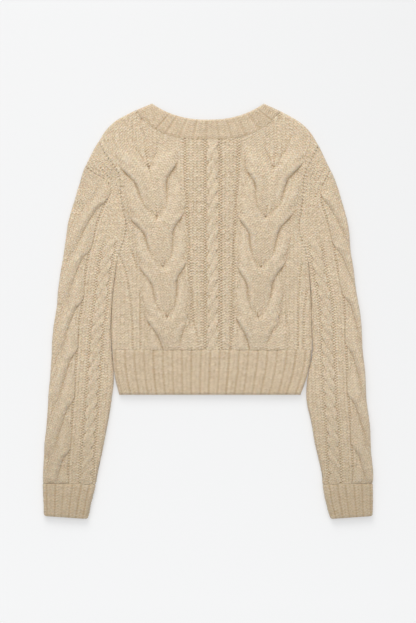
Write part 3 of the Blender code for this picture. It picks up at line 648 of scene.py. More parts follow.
def lay_cable(
    surface, x, y, middle_at, half_at, table, start_y, raised, top_y=None,
    drop=STRAND_DROP, soft=11.0, low_y=None, lag=0.0, blend_from=0.76,
):
    """Lays the four strands of a cable, in two mirrored pairs, over the surface."""
    ys = np.linspace(y.min() - 1, y.max() + 1, STRAND_SAMPLES)
    middle, half = middle_at(ys), half_at(ys)
    for shift in (1, 0):
        phase = ((start_y - ys) / REPEAT + shift - table[0][0]) % 2 + table[0][0]
        inner, outer, tops = course_at(table, phase)
        # Above the topmost V only the outer strands go on.
        if top_y is not None and shift == 0:
            rising = np.maximum((start_y - ys) / REPEAT, table[0][0])
            phase = np.where(ys > top_y, rising, phase)
            inner, outer, tops = course_at(table, phase)
            tops = np.where(ys > top_y, np.maximum(tops, CROWN_HEIGHT), tops)
        elif top_y is not None:
            tops = tops - ease((ys - top_y - CROWN_END) / CROWN_FADE)
        if low_y is not None:
            outer = outer - FOOT_DRAW * ease((low_y - ys) / FOOT_LENGTH) * (inner < 0.1)
        for side in (-1, 1):
            edge, ended = outer, 0.0
            if lag and side < 0:
                edge = np.interp(ys + lag * REPEAT, ys, outer)
            if low_y is not None and side > 0:
                ended = ease((low_y + ARM_END - ys) / ARM_FADE)
                edge = edge + ARM_SPREAD * ended
            blend = np.maximum(ease((edge - blend_from) / 0.2), ended)
            lay_strand(
                surface, x, y, ys, middle + side * inner * half, middle + side * edge * half,
                raised * tops, drop, STRAND_WALES, STRAND_STITCH, soft, blend,
                ease((0.04 - inner) / 0.12),
            )


def lay_rope(surface, x, y, middle_at, twist, tall, end_y=NO_END):
    """Lays two strands that wind round each other over the surface, up to an end."""
    ys = np.linspace(y.min() - 1, y.max() + 1, STRAND_SAMPLES)
    half = ROPE_STRAND_HALF * ROPE_HALF
    for turn in (0, np.pi):
        angle = np.pi * ys / twist + turn
        middle = middle_at(ys) + ROPE_SWING * ROPE_HALF * np.sin(angle)
        tops = tall * (0.55 + 0.45 * np.cos(angle)) - 6 * ease((ys - end_y + 8) / 16)
        lay_strand(
            surface, x, y, ys, middle - half, middle + half, tops, 0.9 * tall,
            ROPE_WALES, ROPE_STITCH, 4.0,
        )


def blurred(values, times, span):
    """The values, each the mean of its neighbours in the grid, up to the span away."""
    for _ in range(times):
        for axis in (0, 1):
            first, last = (np.repeat(values.take([end], axis), span, axis) for end in (0, -1))
            total = np.cumsum(np.concatenate([first, values, last], axis), axis)
            total = np.concatenate([np.zeros_like(total.take([0], axis)), total], axis)
            count, size = 2 * span + 1, values.shape[axis]
            ends = total.take(range(count, count + size), axis)
            values = (ends - total.take(range(size), axis)) / count
    return values


def painted_shades(height):
    """Painted shade from the heights: 0 on the knit's crests to 1 down in its grooves."""
    fine, broad = blurred(height, 1, 2) - height, blurred(height, 2, 5) - height
    return np.clip(0.25 + 0.75 * fine + 0.10 * broad, 0, 1)


# Materials


class Value:
    """A number on a node's socket, so that maths on it is written as an expression."""

    def __init__(self, finish, socket):
        self.finish, self.socket = finish, socket

    def _maths(self, operation, first, second):
        out = self.finish.node("ShaderNodeMath", {"operation": operation}, {0: first, 1: second})
        return Value(self.finish, out.outputs[0])

    def __add__(self, other):
        return self._maths("ADD", self, other)

    def __radd__(self, other):
        return self._maths("ADD", other, self)

    def __sub__(self, other):
        return self._maths("SUBTRACT", self, other)

    def __rsub__(self, other):
        return self._maths("SUBTRACT", other, self)

    def __mul__(self, other):
        return self._maths("MULTIPLY", self, other)

    def __rmul__(self, other):
        return self._maths("MULTIPLY", other, self)


class Finish:
    """A material and its nodes."""

    def __init__(self, name):
        self.material = bpy.data.materials.new(name)
        self.material.use_nodes = True
        self.tree = self.material.node_tree
        self.shader = self.tree.nodes["Principled BSDF"]

    def node(self, kind, settings=None, sockets=None):
        """A node of a type, its settings first, then the values or links of its sockets."""
        made = self.tree.nodes.new(kind)
        for name, value in (settings or {}).items():
            setattr(made, name, value)
        for name, value in (sockets or {}).items():
            self.feed(made.inputs[name], value)
        return made

    def feed(self, socket, value):
        if isinstance(value, Value):
            value = value.socket
        if isinstance(value, bpy.types.NodeSocket):
            self.tree.links.new(value, socket)
        else:
            socket.default_value = value

    def constants(self, values):
        """Sets the shader's own sockets."""
        for name, value in values.items():
            self.shader.inputs[name].default_value = value

    def value(self, node, output=0):
        return Value(self, node.outputs[output])

    def mix(self, factor, first, second):
        """A colour between two."""
        made = self.node("ShaderNodeMix", {"data_type": "RGBA"}, {"Factor": factor})
        colours = [socket for socket in made.inputs if socket.type == "RGBA"]
        self.feed(colours[0], first)
        self.feed(colours[1], second)
        return next(socket for socket in made.outputs if socket.type == "RGBA")


# The yarn's dark and light fibres, then its painted shade down between the stitches, and its
# painted shade by the cuffs
OAT, PALE_OAT = (0.61, 0.49, 0.345, 1), (0.875, 0.74, 0.555, 1)
SHADE_OAT, CUFF_SHADE_OAT = (0.42, 0.275, 0.14, 1), (0.38, 0.30, 0.185, 1)


def knit_finish():
    """Brushed oatmeal yarn, flecked, with painted shade: darker and warmer down between the
    stitches, and darker towards the cuffs.
    """
    yarn = Finish("Oatmeal_knit_yarn")
    places = yarn.node("ShaderNodeTexCoord").outputs["Object"]
    fibres = yarn.node(
        "ShaderNodeTexNoise", None, {"Vector": places, "Scale": 420.0, "Detail": 4.0}
    )
    lots = yarn.node("ShaderNodeTexNoise", None, {"Vector": places, "Scale": 14.0, "Detail": 2.0})
    stitches = yarn.node("ShaderNodeUVMap", {"uv_map": "stitches"}).outputs[0]
    cells = yarn.node("ShaderNodeVectorMath", {"operation": "FLOOR"}, {0: stitches}).outputs[0]
    each = yarn.node("ShaderNodeTexWhiteNoise", {"noise_dimensions": "2D"}, {"Vector": cells})
    painted_shade = yarn.value(yarn.node("ShaderNodeAttribute", {"attribute_name": "painted_shade"}), "Fac")
    fleck = (yarn.value(fibres) - 0.5) * 2.2 + yarn.value(lots) * 0.3 + yarn.value(each) * 0.3 + 0.2
    # Painted shade: darker and warmer colour down between the stitches, in the creases and inside
    # the cuffs.
    colour = yarn.mix(painted_shade * 0.8, yarn.mix(fleck, OAT, PALE_OAT), SHADE_OAT)
    # Painted shade: the yarn is darkened towards the cuffs, away from the window.
    where = yarn.node("ShaderNodeSeparateXYZ", None, {0: places})
    colour = yarn.mix(yarn.value(where, 1) * -1.45 - 0.16, colour, CUFF_SHADE_OAT)
    yarn.feed(yarn.shader.inputs["Base Color"], colour)
    twist = yarn.node(
        "ShaderNodeTexWave", {"bands_direction": "DIAGONAL"},
        {"Vector": stitches, "Scale": 3.0, "Distortion": 1.5},
    )
    bump = yarn.node("ShaderNodeBump", None, {
        "Height": yarn.value(fibres) * 0.7 + yarn.value(twist, 1) * 0.3,
        "Strength": 0.6,
        "Distance": 0.001,
    })
    yarn.feed(yarn.shader.inputs["Normal"], bump.outputs[0])
    yarn.constants({
        "Roughness": 0.92,
        "Specular IOR Level": 0.25,
        "Sheen Weight": 0.25,
        "Sheen Roughness": 0.6,
        # Wool lets a little light through, so its folds are warm.
        "Subsurface Weight": 0.3,
        "Subsurface Radius": (1.0, 0.62, 0.36),
        "Subsurface Scale": 0.003,
    })
    return yarn.material


def horn_finish():
    """Polished brown horn with pale streaks."""
    horn = Finish("Streaked_horn")
    places = horn.node("ShaderNodeTexCoord").outputs["Object"]
    streaks = horn.node(
        "ShaderNodeTexWave", None,
        {"Vector": places, "Scale": 60.0, "Distortion": 6.0, "Detail": 3.0},
    )
    colour = horn.mix(horn.value(streaks, 1), (0.20, 0.11, 0.05, 1), (0.52, 0.38, 0.22, 1))
    horn.feed(horn.shader.inputs["Base Color"], colour)
    horn.constants({"Roughness": 0.35})
    return horn.material


# The garment's lines


def body_side(side):
    return smooth(column(BODY_SIDES, *SIDE_COLUMNS[side]))


def shoulder(side):
    return smooth(column(SHOULDERS, *SIDE_COLUMNS[side]))


def bow(start, end, depth, power):
    """A neckline from start to end that dips by the depth."""
    count = 48
    s = np.linspace(-1, 1, count + 1)
    line = (np.asarray(start) * (1 - s[:, None]) + np.asarray(end) * (1 + s[:, None])) / 2
    line[:, 1] -= depth * (1 - np.abs(s) ** power)
    return line


def neck_seam():
    return bow(SHOULDERS[-1][0:2], SHOULDERS[-1][2:4], NECK_SEAM_DEPTH, NECK_SEAM_BOW)


def neck_edge():
    x, y = NECK_POINT
    return bow((-x, y), (x, y), NECK_EDGE_DEPTH, NECK_EDGE_BOW)


def below_armpit(ys):
    """1 where an edge is a fold, and 0 where it is sewn to the next piece."""
    return np.clip((ARMPIT_Y - 4 - ys) / 20, 0, 1)


def band_line(side, columns):
    line = smooth(column(BAND_ROWS, *columns)) * [SIGN[side], 1]
    line[:, 0] += BAND_MIDDLE * ease((340 - line[:, 1]) / 60)
    return line


def seam_dip(away, at, depth):
    """The trough of a linked seam, with a pit at each stitch."""
    pit = (0.5 + 0.5 * np.cos(2 * np.pi * at / SEAM_STITCH)) ** 2 + 0.25
    return -depth * pit * np.exp(-((away / SEAM_WIDTH) ** 2))


def eyelets(places):
    """Small holes in rows."""
    height = np.zeros(places.shape[:-1])
    for first, last, depth in EYELETS:
        line = smooth((first, last), 8)
        away, at = distance_to(places, line)
        pit = (0.5 + 0.5 * np.cos(2 * np.pi * at / EYELET_STEP)) ** 2
        height -= depth * pit * np.exp(-((away / EYELET_HALF) ** 2))
    return height


def creases(places):
    """The soft troughs and ridges of the cloth as it lies."""
    height = np.zeros(places.shape[:-1])
    for a, b, c, depth, width in CREASES:
        line = smooth((a, b, c), 8)
        away, at = distance_to(places, line)
        fade = np.sin(np.pi * np.clip(at / reach(line)[-1], 0.03, 0.97))
        height += depth * fade * np.exp(-((away / width) ** 2))
    return height


# The pieces


def coarser(grid, rows, columns):
    """The grid with about this many rows and columns, its edges kept."""
    sizes = zip(grid.shape, (rows, columns))
    picked = [np.unique(np.linspace(0, many - 1, few).astype(int)) for many, few in sizes]
    return grid[np.ix_(*picked)]


def panel(name, node, grid, heights, stitches, painted_shade, yarn, under_rows=24):
    """A sheet of the back's layer, with a plain flat underside."""
    part = Part()
    upper = part.grid(with_height(grid, heights), stitches, np.clip(painted_shade, 0, 1))
    flat = coarser(grid, under_rows, 60)
    under = part.grid(with_height(flat, BACK_BOTTOM), flat / [WALE, COURSE], 0.3, flip=True)
    part.close(upper, under)
    return part.make(name, node, yarn)


def make_back(yarn):
    left = beside(body_side("left"), -SEAM_GAP / 2)
    right = beside(body_side("right"), SEAM_GAP / 2)
    top = np.vstack([shoulder("left")[:-1], neck_seam(), shoulder("right")[-2::-1]])
    bottom = np.array([left[0], right[0]]) + [0, SEAM_GAP / 2]
    top = beside(top, -SEAM_GAP / 2)
    left[0, 1] = right[0, 1] = bottom[0, 1]
    top[0], top[-1] = left[-1], right[-1]
    columns, rows = 240, 384
    grid = patch(left, right, bottom, top, even(columns), even(rows))
    x, y = grid[..., 0], grid[..., 1]
    course = y / COURSE
    gutters = between(GUTTERS, y)
    wale = (x - gutters[1]) / WALE
    # Purl runs down the gutters, beside the rope and under the cables.
    sunk = np.zeros_like(x)
    for middle in gutters:
        sunk = np.maximum(sunk, ease(1.6 - np.abs(x - middle) / GUTTER_HALF))
    for line in SIDE_LINES:
        (middle,) = between([(v, u) for u, v in line], y)
        inside = ease((line[0][1] - y) / 12 + 0.5) * ease((y - line[-1][1]) / 12 + 1)
        sunk = np.maximum(sunk, inside * ease(1.5 - np.abs(x - middle) / SIDE_LINE_HALF))
    for table in CABLES.values():
        middle, half = between(table, y)
        share = np.where(y > CABLE_V_Y, 0.10, 0.3)
        sunk = np.maximum(sunk, ease((share * half - np.abs(x - middle)) / 4.0))
    (rope_x,) = between(BACK_ROPE, y)
    sunk = np.maximum(sunk, ease((ROPE_HALF - np.abs(x - rope_x)) / 2.0))
    crown = sum(
        ease(1 - np.abs(x - (a + b) / 2) / ((b - a) / 2 - 2.0))
        for a, b in ((gutters[0], gutters[1]), (gutters[2], gutters[3]))
    )
    # The columns in the middle have crisper stitches than the side panels.
    lively = ease((x - gutters[0]) / 6 + 1) * ease((gutters[3] - x) / 6 + 1)
    plain = STITCH * (BACK_PLAIN + LIVELY_PLAIN * lively)
    plain = plain * (stockinette(wale, course, 0.15) - STITCH_MIDDLE)
    bumps = (BACK_PURL + LIVELY_PURL * lively) * (purl(wale, course) - 0.5)
    low = (1 - sunk) * crown - GUTTER_DROP * sunk
    surface = Surface(low, (1 - sunk) * plain + sunk * bumps, wale, course)
    for table in CABLES.values():
        lay_cable(
            surface, x, y, lambda ys: between(table, ys)[0], lambda ys: between(table, ys)[1],
            STRAND_COURSE, CABLE_V_Y, CABLE_RAISE, CABLE_V_Y, low_y=LAST_V_Y, lag=LEFT_ARM_LAG,
        )
    surface.fade(ease((CABLE_END_Y - y) / CABLE_END_FADE))
    lay_rope(surface, x, y, lambda ys: between(BACK_ROPE, ys)[0], ROPE_TWIST, ROPE_RAISE)
    # Everything raised sinks into the seams and rolls over at the edges.
    for line, least, width in (
        (bottom, 0.4, 30.0), (top, 0.0, 20.0), (left, 0.1, 12.0), (right, 0.1, 12.0)
    ):
        away, _ = distance_to(grid, line)
        surface.fade(least + (1 - least) * ease(away / width))
    raised = surface.height + surface.stitch + eyelets(grid)
    fold = below_armpit(y)
    for line, depth in (
        (left, (1 - fold) * ARMHOLE_DIP),
        (right, (1 - fold) * ARMHOLE_DIP),
        (neck_seam(), NECK_DIP),
        (bottom, HEM_DIP),
    ):
        raised = raised + seam_dip(*distance_to(grid, line), depth)
    heights = BACK_TOP + raised + creases(grid)
    # Painted shade: from the heights, darker down in the grooves, and more in the crease beside
    # each folded side.
    painted_shade = painted_shades(raised)
    for line in (left, right):
        away, _ = distance_to(grid, line)
        painted_shade = painted_shade + FOLD_SHADE * fold * np.exp(-((away / FOLD_SHADE_HALF) ** 2))
        curved = rolled_over(heights, grid, [line], FOLD_CURVE, BACK_BOTTOM + FOLD_HEIGHT)
        heights = (1 - fold) * heights + fold * curved
    shoulders = shoulder("left"), shoulder("right")
    heights = rolled_over(heights, grid, shoulders, SHOULDER_CURVE, BACK_BOTTOM)
    stitches = surface.stitches()
    back = panel("back_panel", "back", grid, heights, stitches, painted_shade, yarn, under_rows=60)


def ribbed(turn, course, wale=None):
    """Ribs across turns, each whole one a gap: their height, stitches and painted shade. A rib is
    knit and the gap between two is purl. Where no wales are given, a rib has two, and its gap is
    pulled unlike the others."""
    rib = ease((GAP_EDGE - np.cos(2 * np.pi * turn)) / GAP_SLOPE)
    if wale is None:
        wale = 2 * turn
        rib = 1 - (1 - rib) * (GAP_DEPTH + GAP_SPREAD * uneven(np.round(turn), GAP_LOT))
    plain, bumps = stockinette(wale, course, 0.06), purl(wale, course)
    relief = STITCH * (
        RIB_PLAIN * rib * (plain - STITCH_MIDDLE) + RIB_PURL * (1 - rib) * (bumps - 0.5)
    )
    painted_shade = painted_shades(0.6 * rib * RIB_RAISE + relief) + RIB_SHADE
    stitches = np.stack(np.broadcast_arrays(wale, course), axis=-1)
    return rib * RIB_RAISE + relief, stitches, painted_shade


def make_hem_back(yarn):
    sides = column(HEM_SIDES, 0, 2), column(HEM_SIDES, 1, 2)
    left, right = (smooth(side)[::-1] for side in sides)
    left[-1, 1] = right[-1, 1] = HEM_SEAM_Y - SEAM_GAP / 2
    across, rows = even(HEM_RIBS * RIB_COLUMNS), 69
    bottom, top = np.array([left[0], right[0]]), np.array([left[-1], right[-1]])
    grid = patch(left, right, bottom, top, across, even(rows))
    course = grid[..., 1] / COURSE
    raised, stitches, painted_shade = ribbed(HEM_RIBS * across[None] + HEM_RIB_START, course)
    away, at = distance_to(grid, top)
    heights = BACK_TOP + raised * ease(0.35 + away / RIB_FADE) + seam_dip(away, at, HEM_TOP_DIP)
    heights = rolled_over(heights, grid, (left, right, bottom), HEM_CURVE, EDGE_BOTTOM)
    hem = panel("hem_back_rib", "hem_back", grid, heights, stitches, painted_shade, yarn)


def make_neckband(yarn):
    bottom, top = beside(neck_seam(), SEAM_GAP / 2), neck_edge()
    columns, rows, courses = 160, 39, 9
    left, right = np.array([bottom[0], top[0]]), np.array([bottom[-1], top[-1]])
    grid = patch(left, right, bottom, top, even(columns), even(rows))
    course = np.broadcast_to(courses * even(rows)[:, None], grid.shape[:2])
    halfway = grid[(rows + 1) // 2, :, 0]
    last = len(NECK_GAPS) - 1
    turn = np.interp(halfway, NECK_GAPS, np.arange(last + 1), -0.5, last + 0.5)
    raised, stitches, painted_shade = ribbed(turn[None], course, halfway[None] / WALE)
    away, at = distance_to(grid, bottom)
    heights = BACK_TOP + 0.8 * raised * ease(0.3 + away / RIB_FADE)
    heights = heights + seam_dip(away, at, NECK_DIP)
    heights = rolled_over(heights, grid, (left, right, top), EDGE_CURVE, EDGE_BOTTOM)
    painted_shade = painted_shade + NECK_SHADE * np.exp(-((away / NECK_SHADE_HALF) ** 2))
    band = panel("neckband_rib", "neckband_back", grid, heights, stitches, painted_shade, yarn)


class Tube:
    """A flattened tube. A place on it is given by how far round it is from the outer fold, which is
    negative on the underside, and by how far down the fold it is."""

    RADIUS = BACK_TOP / 2

    def __init__(self, rows):
        self.fold, self.inner = smooth(column(rows, 0, 1)), smooth(column(rows, 2, 3))
        self.far = reach(self.fold)
        self.length = self.far[-1]

    def section(self, down):
        """The tube this far down: the places of its two folds, its width, the width of each fold's
        curve, the inner one's height, the outer one's length, and the length of the upper side."""
        fold = np.stack([np.interp(down, self.far, c) for c in self.fold.T], axis=-1)
        inner_far = reach(self.inner)
        share = down / self.length * inner_far[-1]
        inner = np.stack([np.interp(share, inner_far, c) for c in self.inner.T], axis=-1)
        width = np.linalg.norm(inner - fold, axis=-1)
        sewn = np.maximum(below_armpit(inner[..., 1]), 0.02)
        first = np.minimum(self.RADIUS, 0.45 * width)
        second = np.minimum(self.RADIUS * sewn, 0.45 * width)
        arc = np.pi / 2 * self.RADIUS
        whole = arc + width - first - second + np.pi / 2 * self.RADIUS * sewn
        return fold, inner, width, first, second, self.RADIUS * sewn, arc, whole

    def round(self, down):
        """How far it is from the outer fold to the inner one, over the upper side."""
        return self.section(down)[-1]

    def point(self, q, down, height):
        """The places on the tube, raised from its wall by the height."""
        fold, inner, width, first, second, tall, arc, whole = self.section(down)
        out = np.abs(q)
        near = np.clip(out / arc, 0, 1) * np.pi / 2
        last = np.pi / 2 * tall
        past = np.clip((out - (whole - last)) / np.maximum(last, 1e-6), 0, 1) * np.pi / 2
        flat = np.clip(out - arc, 0, width - first - second)
        x = first * (1 - np.cos(near)) + flat + second * np.sin(past)
        z = self.RADIUS * np.sin(near) - tall * (1 - np.cos(past))
        closed = tall / self.RADIUS
        nx = np.where(out < arc, -np.cos(near), np.sin(past) * closed)
        nz = np.where(out < arc, np.sin(near), 1 - (1 - np.cos(past)) * closed)
        way = (inner - fold) / np.maximum(width, 1e-6)[..., None]
        place = fold + way * (x + height * nx)[..., None]
        up = np.where(q >= 0, 1.0, -1.0)
        return np.concatenate([place, (self.RADIUS + up * (z + height * nz))[..., None]], axis=-1)


def make_sleeve(side, yarn):
    rows = [(x, y, u + SIGN[side] * SEAM_GAP / 2, v) for x, y, u, v in SLEEVES[side]]
    tube = Tube(rows)
    count, top_columns, low_columns = 548, 96, 30
    shares = np.concatenate([even(top_columns)[::-1], -even(low_columns)[1:]])
    down = np.broadcast_to(tube.length * even(count)[:, None], (count + 1, len(shares)))
    whole = tube.round(down)
    q = shares[None] * whole
    y = np.interp(down, tube.far, tube.fold[:, 1])
    course = (tube.length - down) / COURSE

    def bound_at(ys):
        """Where the cable ends and the plain knit starts, with its corners softened."""
        near = (-12, -6, 0, 6, 12)
        return sum(between(SLEEVE_BOUNDS[side], ys + n)[0] for n in near) / len(near) + FOLD_EXTRA

    bound = bound_at(y)
    wale = (q - bound) / WALE
    sunk = np.zeros_like(q)
    for offset, half in (
        (0.0, SIDE_LINE_HALF), (FIRST_GUTTER, GUTTER_HALF), (SECOND_GUTTER, GUTTER_HALF)
    ):
        sunk = np.maximum(sunk, ease(1.6 - np.abs(q - bound - offset) / half))
    sunk = np.maximum(sunk, ease((ROPE_HALF - np.abs(q - bound - SLEEVE_ROPE_AT)) / 2.0))
    sunk = sunk * ease((SLEEVE_ROPE_TOP - y) / SLEEVE_FADE)
    sunk = np.maximum(sunk, ease(1.6 - np.abs(q - bound) / SIDE_LINE_HALF))
    places = tube.point(q, down, 0 * q)[..., :2]
    armhole = body_side(side)
    armhole = armhole[armhole[:, 1] > ARMPIT_Y - 4]
    from_seam, seam_at = distance_to(places, armhole)
    beside_seam = ease((y - CAP_LINES_END) / SLEEVE_FADE) * (q > bound + 2)
    for away in CAP_LINES:
        line = ease(1.5 - np.abs(from_seam - away) / CAP_LINE_HALF)
        sunk = np.maximum(sunk, 0.6 * beside_seam * line)
    plain = STITCH * SLEEVE_PLAIN * (stockinette(wale, course, 0.2) - STITCH_MIDDLE)
    bumps = SLEEVE_PURL * (purl(wale, course) - 0.5)
    low = (1 - sunk) * 0.6 * ease((bound - q) / 6) - GUTTER_DROP * sunk
    surface = Surface(low, (1 - sunk) * plain + sunk * bumps, wale, course)
    lay_cable(
        surface, q, y, lambda ys: bound_at(ys) - SLEEVE_CABLE_HALF,
        lambda ys: np.full(len(ys), SLEEVE_CABLE_HALF), SLEEVE_COURSE, SLEEVE_NOTCH_Y[side],
        SLEEVE_RAISE, drop=SLEEVE_DROP, soft=14.0, blend_from=0.9,
    )
    lay_rope(
        surface, q, y, lambda ys: bound_at(ys) + SLEEVE_ROPE_AT, SLEEVE_ROPE_TWIST,
        SLEEVE_ROPE_RAISE, SLEEVE_ROPE_TOP,
    )
    # The cable rises slowly out of the sleeve's cap, and all sinks into the seams.
    surface.fade(ease((SLEEVE_CABLE_END_Y - y) / SLEEVE_CABLE_FADE))
    by_cuff = ease(0.2 + (tube.length - down) / SLEEVE_FADE)
    surface.fade(by_cuff * ease(0.1 + from_seam / SLEEVE_FADE))
    raised = surface.height + surface.stitch * ease(0.3 + down / 20)
    raised = raised + seam_dip(from_seam, seam_at, ARMHOLE_DIP) + creases(places) + eyelets(places)
    upper = ease((q + 3.5) / 12) * np.clip(whole / 40, 0, 1)
    # Painted shade from the heights; the underside gets an even share, and the crease by the body
    # more.
    painted_shade = painted_shades(raised) * upper + 0.3 * (1 - upper)
    painted_shade = painted_shade + FOLD_SHADE * below_armpit(y) * ease((q - whole + 8) / 8)
    height = raised * upper
    height[-1] = SEAM_LIP
    part = Part()
    places = tube.point(q, down, height)
    part.grid(places, surface.stitches(), np.clip(painted_shade, 0, 1), flip=(side == "right"))
    sleeve = part.make(f"sleeve_{side}_knit", f"sleeve_{side}", yarn)


def make_cuff(side, yarn):
    x, y, u, v = SLEEVES[side][-1]
    tube = Tube([(x, y - SEAM_GAP / 2, u, v - SEAM_GAP / 2), *CUFFS[side]])
    count, half_columns = 52, 56
    share = np.concatenate([even(half_columns)[::-1], -even(half_columns)[1:]])
    down = np.broadcast_to(tube.length * even(count)[:, None], (count + 1, len(share)))
    q = share[None] * tube.round(down)
    course = (tube.length - down) / COURSE
    turn = CUFF_RIBS * np.abs(share)[None] + CUFF_RIB_START[side]
    raised, stitches, painted_shade = ribbed(turn, course)
    upper = ease((q + 4) / 8)
    end = rolled(tube.length - down, EDGE_CURVE)
    height = raised * upper * end * ease(0.4 + down / RIB_FADE) - CUFF_LIP * (1 - end)
    height[0] = SEAM_LIP
    flip = side == "right"
    part = Part()
    part.grid(tube.point(q, down, height), stitches, np.clip(painted_shade, 0, 1), flip)
    # The inside of the cuff
    down = down[::-6]
    q = share[None] * (tube.round(down) - CUFF_WALL)
    inside = tube.point(q, down, np.full(q.shape, -CUFF_INSIDE))
    # The inside of the cuff is painted dark with shade.
    part.grid(inside, np.stack([q, down], axis=-1) / COURSE, 0.9, flip)
    cuff = part.make(f"cuff_{side}_rib", f"cuff_{side}", yarn)


def make_front(side, yarn):
    outer = beside(body_side(side), SIGN[side] * SEAM_GAP / 2)
    band = band_line(side, (0, 1))[::-1]
    band = band[band[:, 1] > HEM_SEAM_Y]
    band = np.vstack([[band[0, 0], HEM_SEAM_Y], band]) + [SIGN[side] * SEAM_GAP, 0]
    outer[0, 1] = band[0, 1] = HEM_SEAM_Y + SEAM_GAP / 2
    top = shoulder(side) - [0, SEAM_GAP]
    top[0], top[-1] = outer[-1], band[-1]
    left, right = (outer, band) if side == "left" else (band, outer)
    if side == "right":
        top = top[::-1]
    bottom = np.array([left[0], right[0]])
    columns, rows = 60, 140
    grid = patch(left, right, bottom, top, even(columns), even(rows))
    away, _ = distance_to(grid, outer)
    fold = below_armpit(grid[..., 1])
    away_top, _ = distance_to(grid, top)
    rise = FRONT_FOLD_RISE * (1 - rolled(away, EDGE_CURVE)) * fold
    rise = rise + FRONT_TOP_RISE * (1 - rolled(away_top, EDGE_CURVE))
    stitches = grid / [WALE, -COURSE]
    part = Part()
    under = part.grid(with_height(grid, rise), stitches, 0.25, flip=True)
    upper = part.grid(with_height(grid[::7, ::6], FRONT_TOP), stitches[::7, ::6], 0.25)
    part.close(under, upper, flip=True)
    front = part.make(f"front_{side}_knit", f"front_{side}", yarn)


def make_hem_front(side, yarn):
    outer = smooth(column(HEM_SIDES, 0 if side == "left" else 1, 2))[::-1]
    outer[-1, 1] = HEM_SEAM_Y - SEAM_GAP / 2
    band_x = BAND_MIDDLE + SIGN[side] * (BAND_HALF + SEAM_GAP)
    band = np.array([(band_x, outer[0, 1]), (band_x, outer[-1, 1])])
    left, right = (outer, band) if side == "left" else (band, outer)
    bottom, top = np.array([left[0], right[0]]), np.array([left[-1], right[-1]])
    across, rows = even(FRONT_HEM_RIBS * RIB_COLUMNS), 35
    grid = patch(left, right, bottom, top, across, even(rows))
    raised, stitches, painted_shade = ribbed(FRONT_HEM_RIBS * across[None], grid[..., 1] / COURSE)
    rise = FRONT_HEM_GAP * (1 - np.clip(raised / RIB_RAISE, 0, 1))
    for line in (outer, bottom):
        away, _ = distance_to(grid, line)
        rise = rise + FRONT_HEM_RISE * (1 - rolled(away, EDGE_CURVE))
    part = Part()
    under = part.grid(with_height(grid, rise), stitches, np.clip(painted_shade, 0, 1), flip=True)
    upper = part.grid(with_height(grid[::5, ::6], FRONT_TOP), grid[::5, ::6] / COURSE, 0.3)
    part.close(under, upper, flip=True)
    hem = part.make(f"hem_front_{side}_rib", f"hem_front_{side}", yarn)


def make_front_band(side, yarn):
    rows, courses = 299, 120
    shares = even(rows)
    seam, edge = along(band_line(side, (0, 1)), shares), along(band_line(side, (2, 3)), shares)
    across = even(BAND_RIBS * RIB_COLUMNS)
    s = across[None, :, None]
    grid = ((1 - s) * seam[:, None] + s * edge[:, None])[::-1]
    if side == "right":
        grid = grid[:, ::-1]
    clear = np.clip((grid[..., 1] - OVERLAP_TOP_Y) / OVERLAP_RAMP, 0, 1)
    course = np.broadcast_to(courses * shares[:, None], grid.shape[:2])
    raised, stitches, painted_shade = ribbed(BAND_RIBS * across[None], course)
    groove = FRONT_BAND_GAP * (1 - np.clip(raised / RIB_RAISE, 0, 1))
    if side == "left":
        unders = (1 - clear) * (OUTER_BAND + LAYER_GAP)
        tops = np.full(unders.shape, FRONT_TOP)
    else:
        tops = OUTER_BAND + clear * (FRONT_TOP - OUTER_BAND)
        unders = np.zeros(tops.shape)
        # The band bulges up over each button.
        for y in BUTTON_YS:
            away = np.linalg.norm(grid - [BAND_MIDDLE, y], axis=-1)
            pocket = ease((POCKET_RADIUS + POCKET_EDGE - away) / POCKET_EDGE)
            unders = unders + pocket * POCKET_DEPTH
            groove = groove * (1 - pocket)
    part = Part()
    under = part.grid(with_height(grid, unders + groove), stitches, painted_shade, flip=True)
    part.close(under, part.grid(with_height(grid, tops - groove), stitches, painted_shade), flip=True)
    band = part.make(f"front_band_{side}_rib", f"front_band_{side}", yarn)


# The studio


FLOOR_HALF, FLOOR_DROP = 4.0, 0.0004


def make_floor():
    """A light table: it glows a little, and reflects more towards the hem, where less of the
    window's light falls."""
    floor = Finish("Pale_floor")
    where = floor.node("ShaderNodeTexCoord").outputs["Object"]
    along_y = floor.value(floor.node("ShaderNodeSeparateXYZ", None, {0: where}), 1) + 0.5
    near, far = (0.583, 0.583, 0.583, 1), (0.456, 0.456, 0.456, 1)
    floor.feed(floor.shader.inputs["Base Color"], floor.mix(along_y, near, far))
    floor.constants({"Emission Color": (1, 1, 1, 1), "Emission Strength": 0.355, "Roughness": 0.9})
    mesh = bpy.data.meshes.new("floor")
    corners = ((-1, -1), (1, -1), (1, 1), (-1, 1))
    places = [(u * FLOOR_HALF, v * FLOOR_HALF, -FLOOR_DROP) for u, v in corners]
    mesh.from_pydata(places, [], [(0, 1, 2, 3)])
    mesh.materials.append(floor.material)
    new_object("floor", mesh)


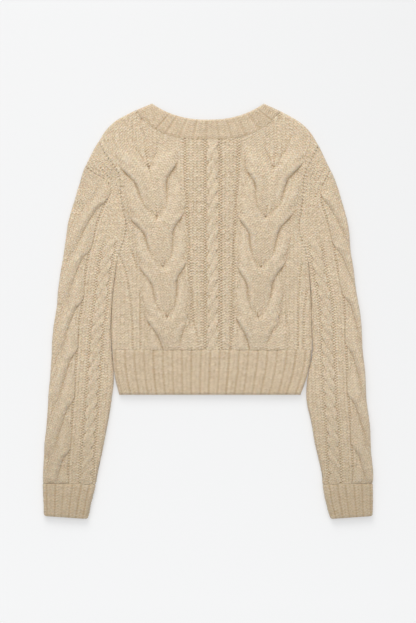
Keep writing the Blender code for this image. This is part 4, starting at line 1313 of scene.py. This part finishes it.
# The photograph's frame: its size in pixels, a pixel in millimetres, and where the garment's
# own middle lies in it.
PHOTO_SIZE = (416, 623)
PIXEL = 1.712
PHOTO_MIDDLE = (208.0, 311.75)


def make_camera():
    data = bpy.data.cameras.new("overhead")
    data.lens = 110.0
    data.sensor_width = 36.0
    height = PHOTO_SIZE[1] * PIXEL * MM
    middle = (
        (PHOTO_SIZE[0] / 2 - PHOTO_MIDDLE[0]) * PIXEL - OUTLINE_MIDDLE[0],
        (PHOTO_MIDDLE[1] - PHOTO_SIZE[1] / 2) * PIXEL - OUTLINE_MIDDLE[1],
    )
    away = height * data.lens / data.sensor_width + BACK_TOP * MM
    camera = new_object("overhead", data)
    camera.location = (middle[0] * MM, middle[1] * MM, away)
    bpy.context.scene.camera = camera


def make_light(name, kind, place, settings):
    """A light at a place, from which it shines on the garment."""
    data = bpy.data.lights.new(name, kind)
    for setting, value in settings.items():
        setattr(data, setting, value)
    light = new_object(name, data)
    light.location = place
    light.rotation_euler = Vector(place).to_track_quat("Z", "Y").to_euler()


def make_studio():
    make_floor()
    make_camera()
    window = {"shape": "RECTANGLE", "size": 1.6, "size_y": 1.2, "energy": 30.0}
    make_light("window", "AREA", (-0.45, 1.9, 1.5), window)
    make_light("soft_box", "SUN", (0.1, 0.2, 1.0), {"angle": np.radians(60.0), "energy": 0.8})
    world = bpy.data.worlds.new("studio")
    world.use_nodes = True
    sky = world.node_tree.nodes["Background"]
    sky.inputs["Color"].default_value = (0.97, 0.985, 1, 1)
    sky.inputs["Strength"].default_value = 0.535
    bpy.context.scene.world = world
    bpy.context.scene.view_settings.view_transform = "Standard"


yarn = knit_finish()
horn = horn_finish()
make_back(yarn)
make_hem_back(yarn)
make_neckband(yarn)
for side in ("left", "right"):
    make_sleeve(side, yarn)
    make_cuff(side, yarn)
    make_front(side, yarn)
    make_hem_front(side, yarn)
    make_front_band(side, yarn)
for name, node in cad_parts.items():
    if name.startswith("button_"):
        for slot in node.material_slots:
            slot.material = horn
make_studio()
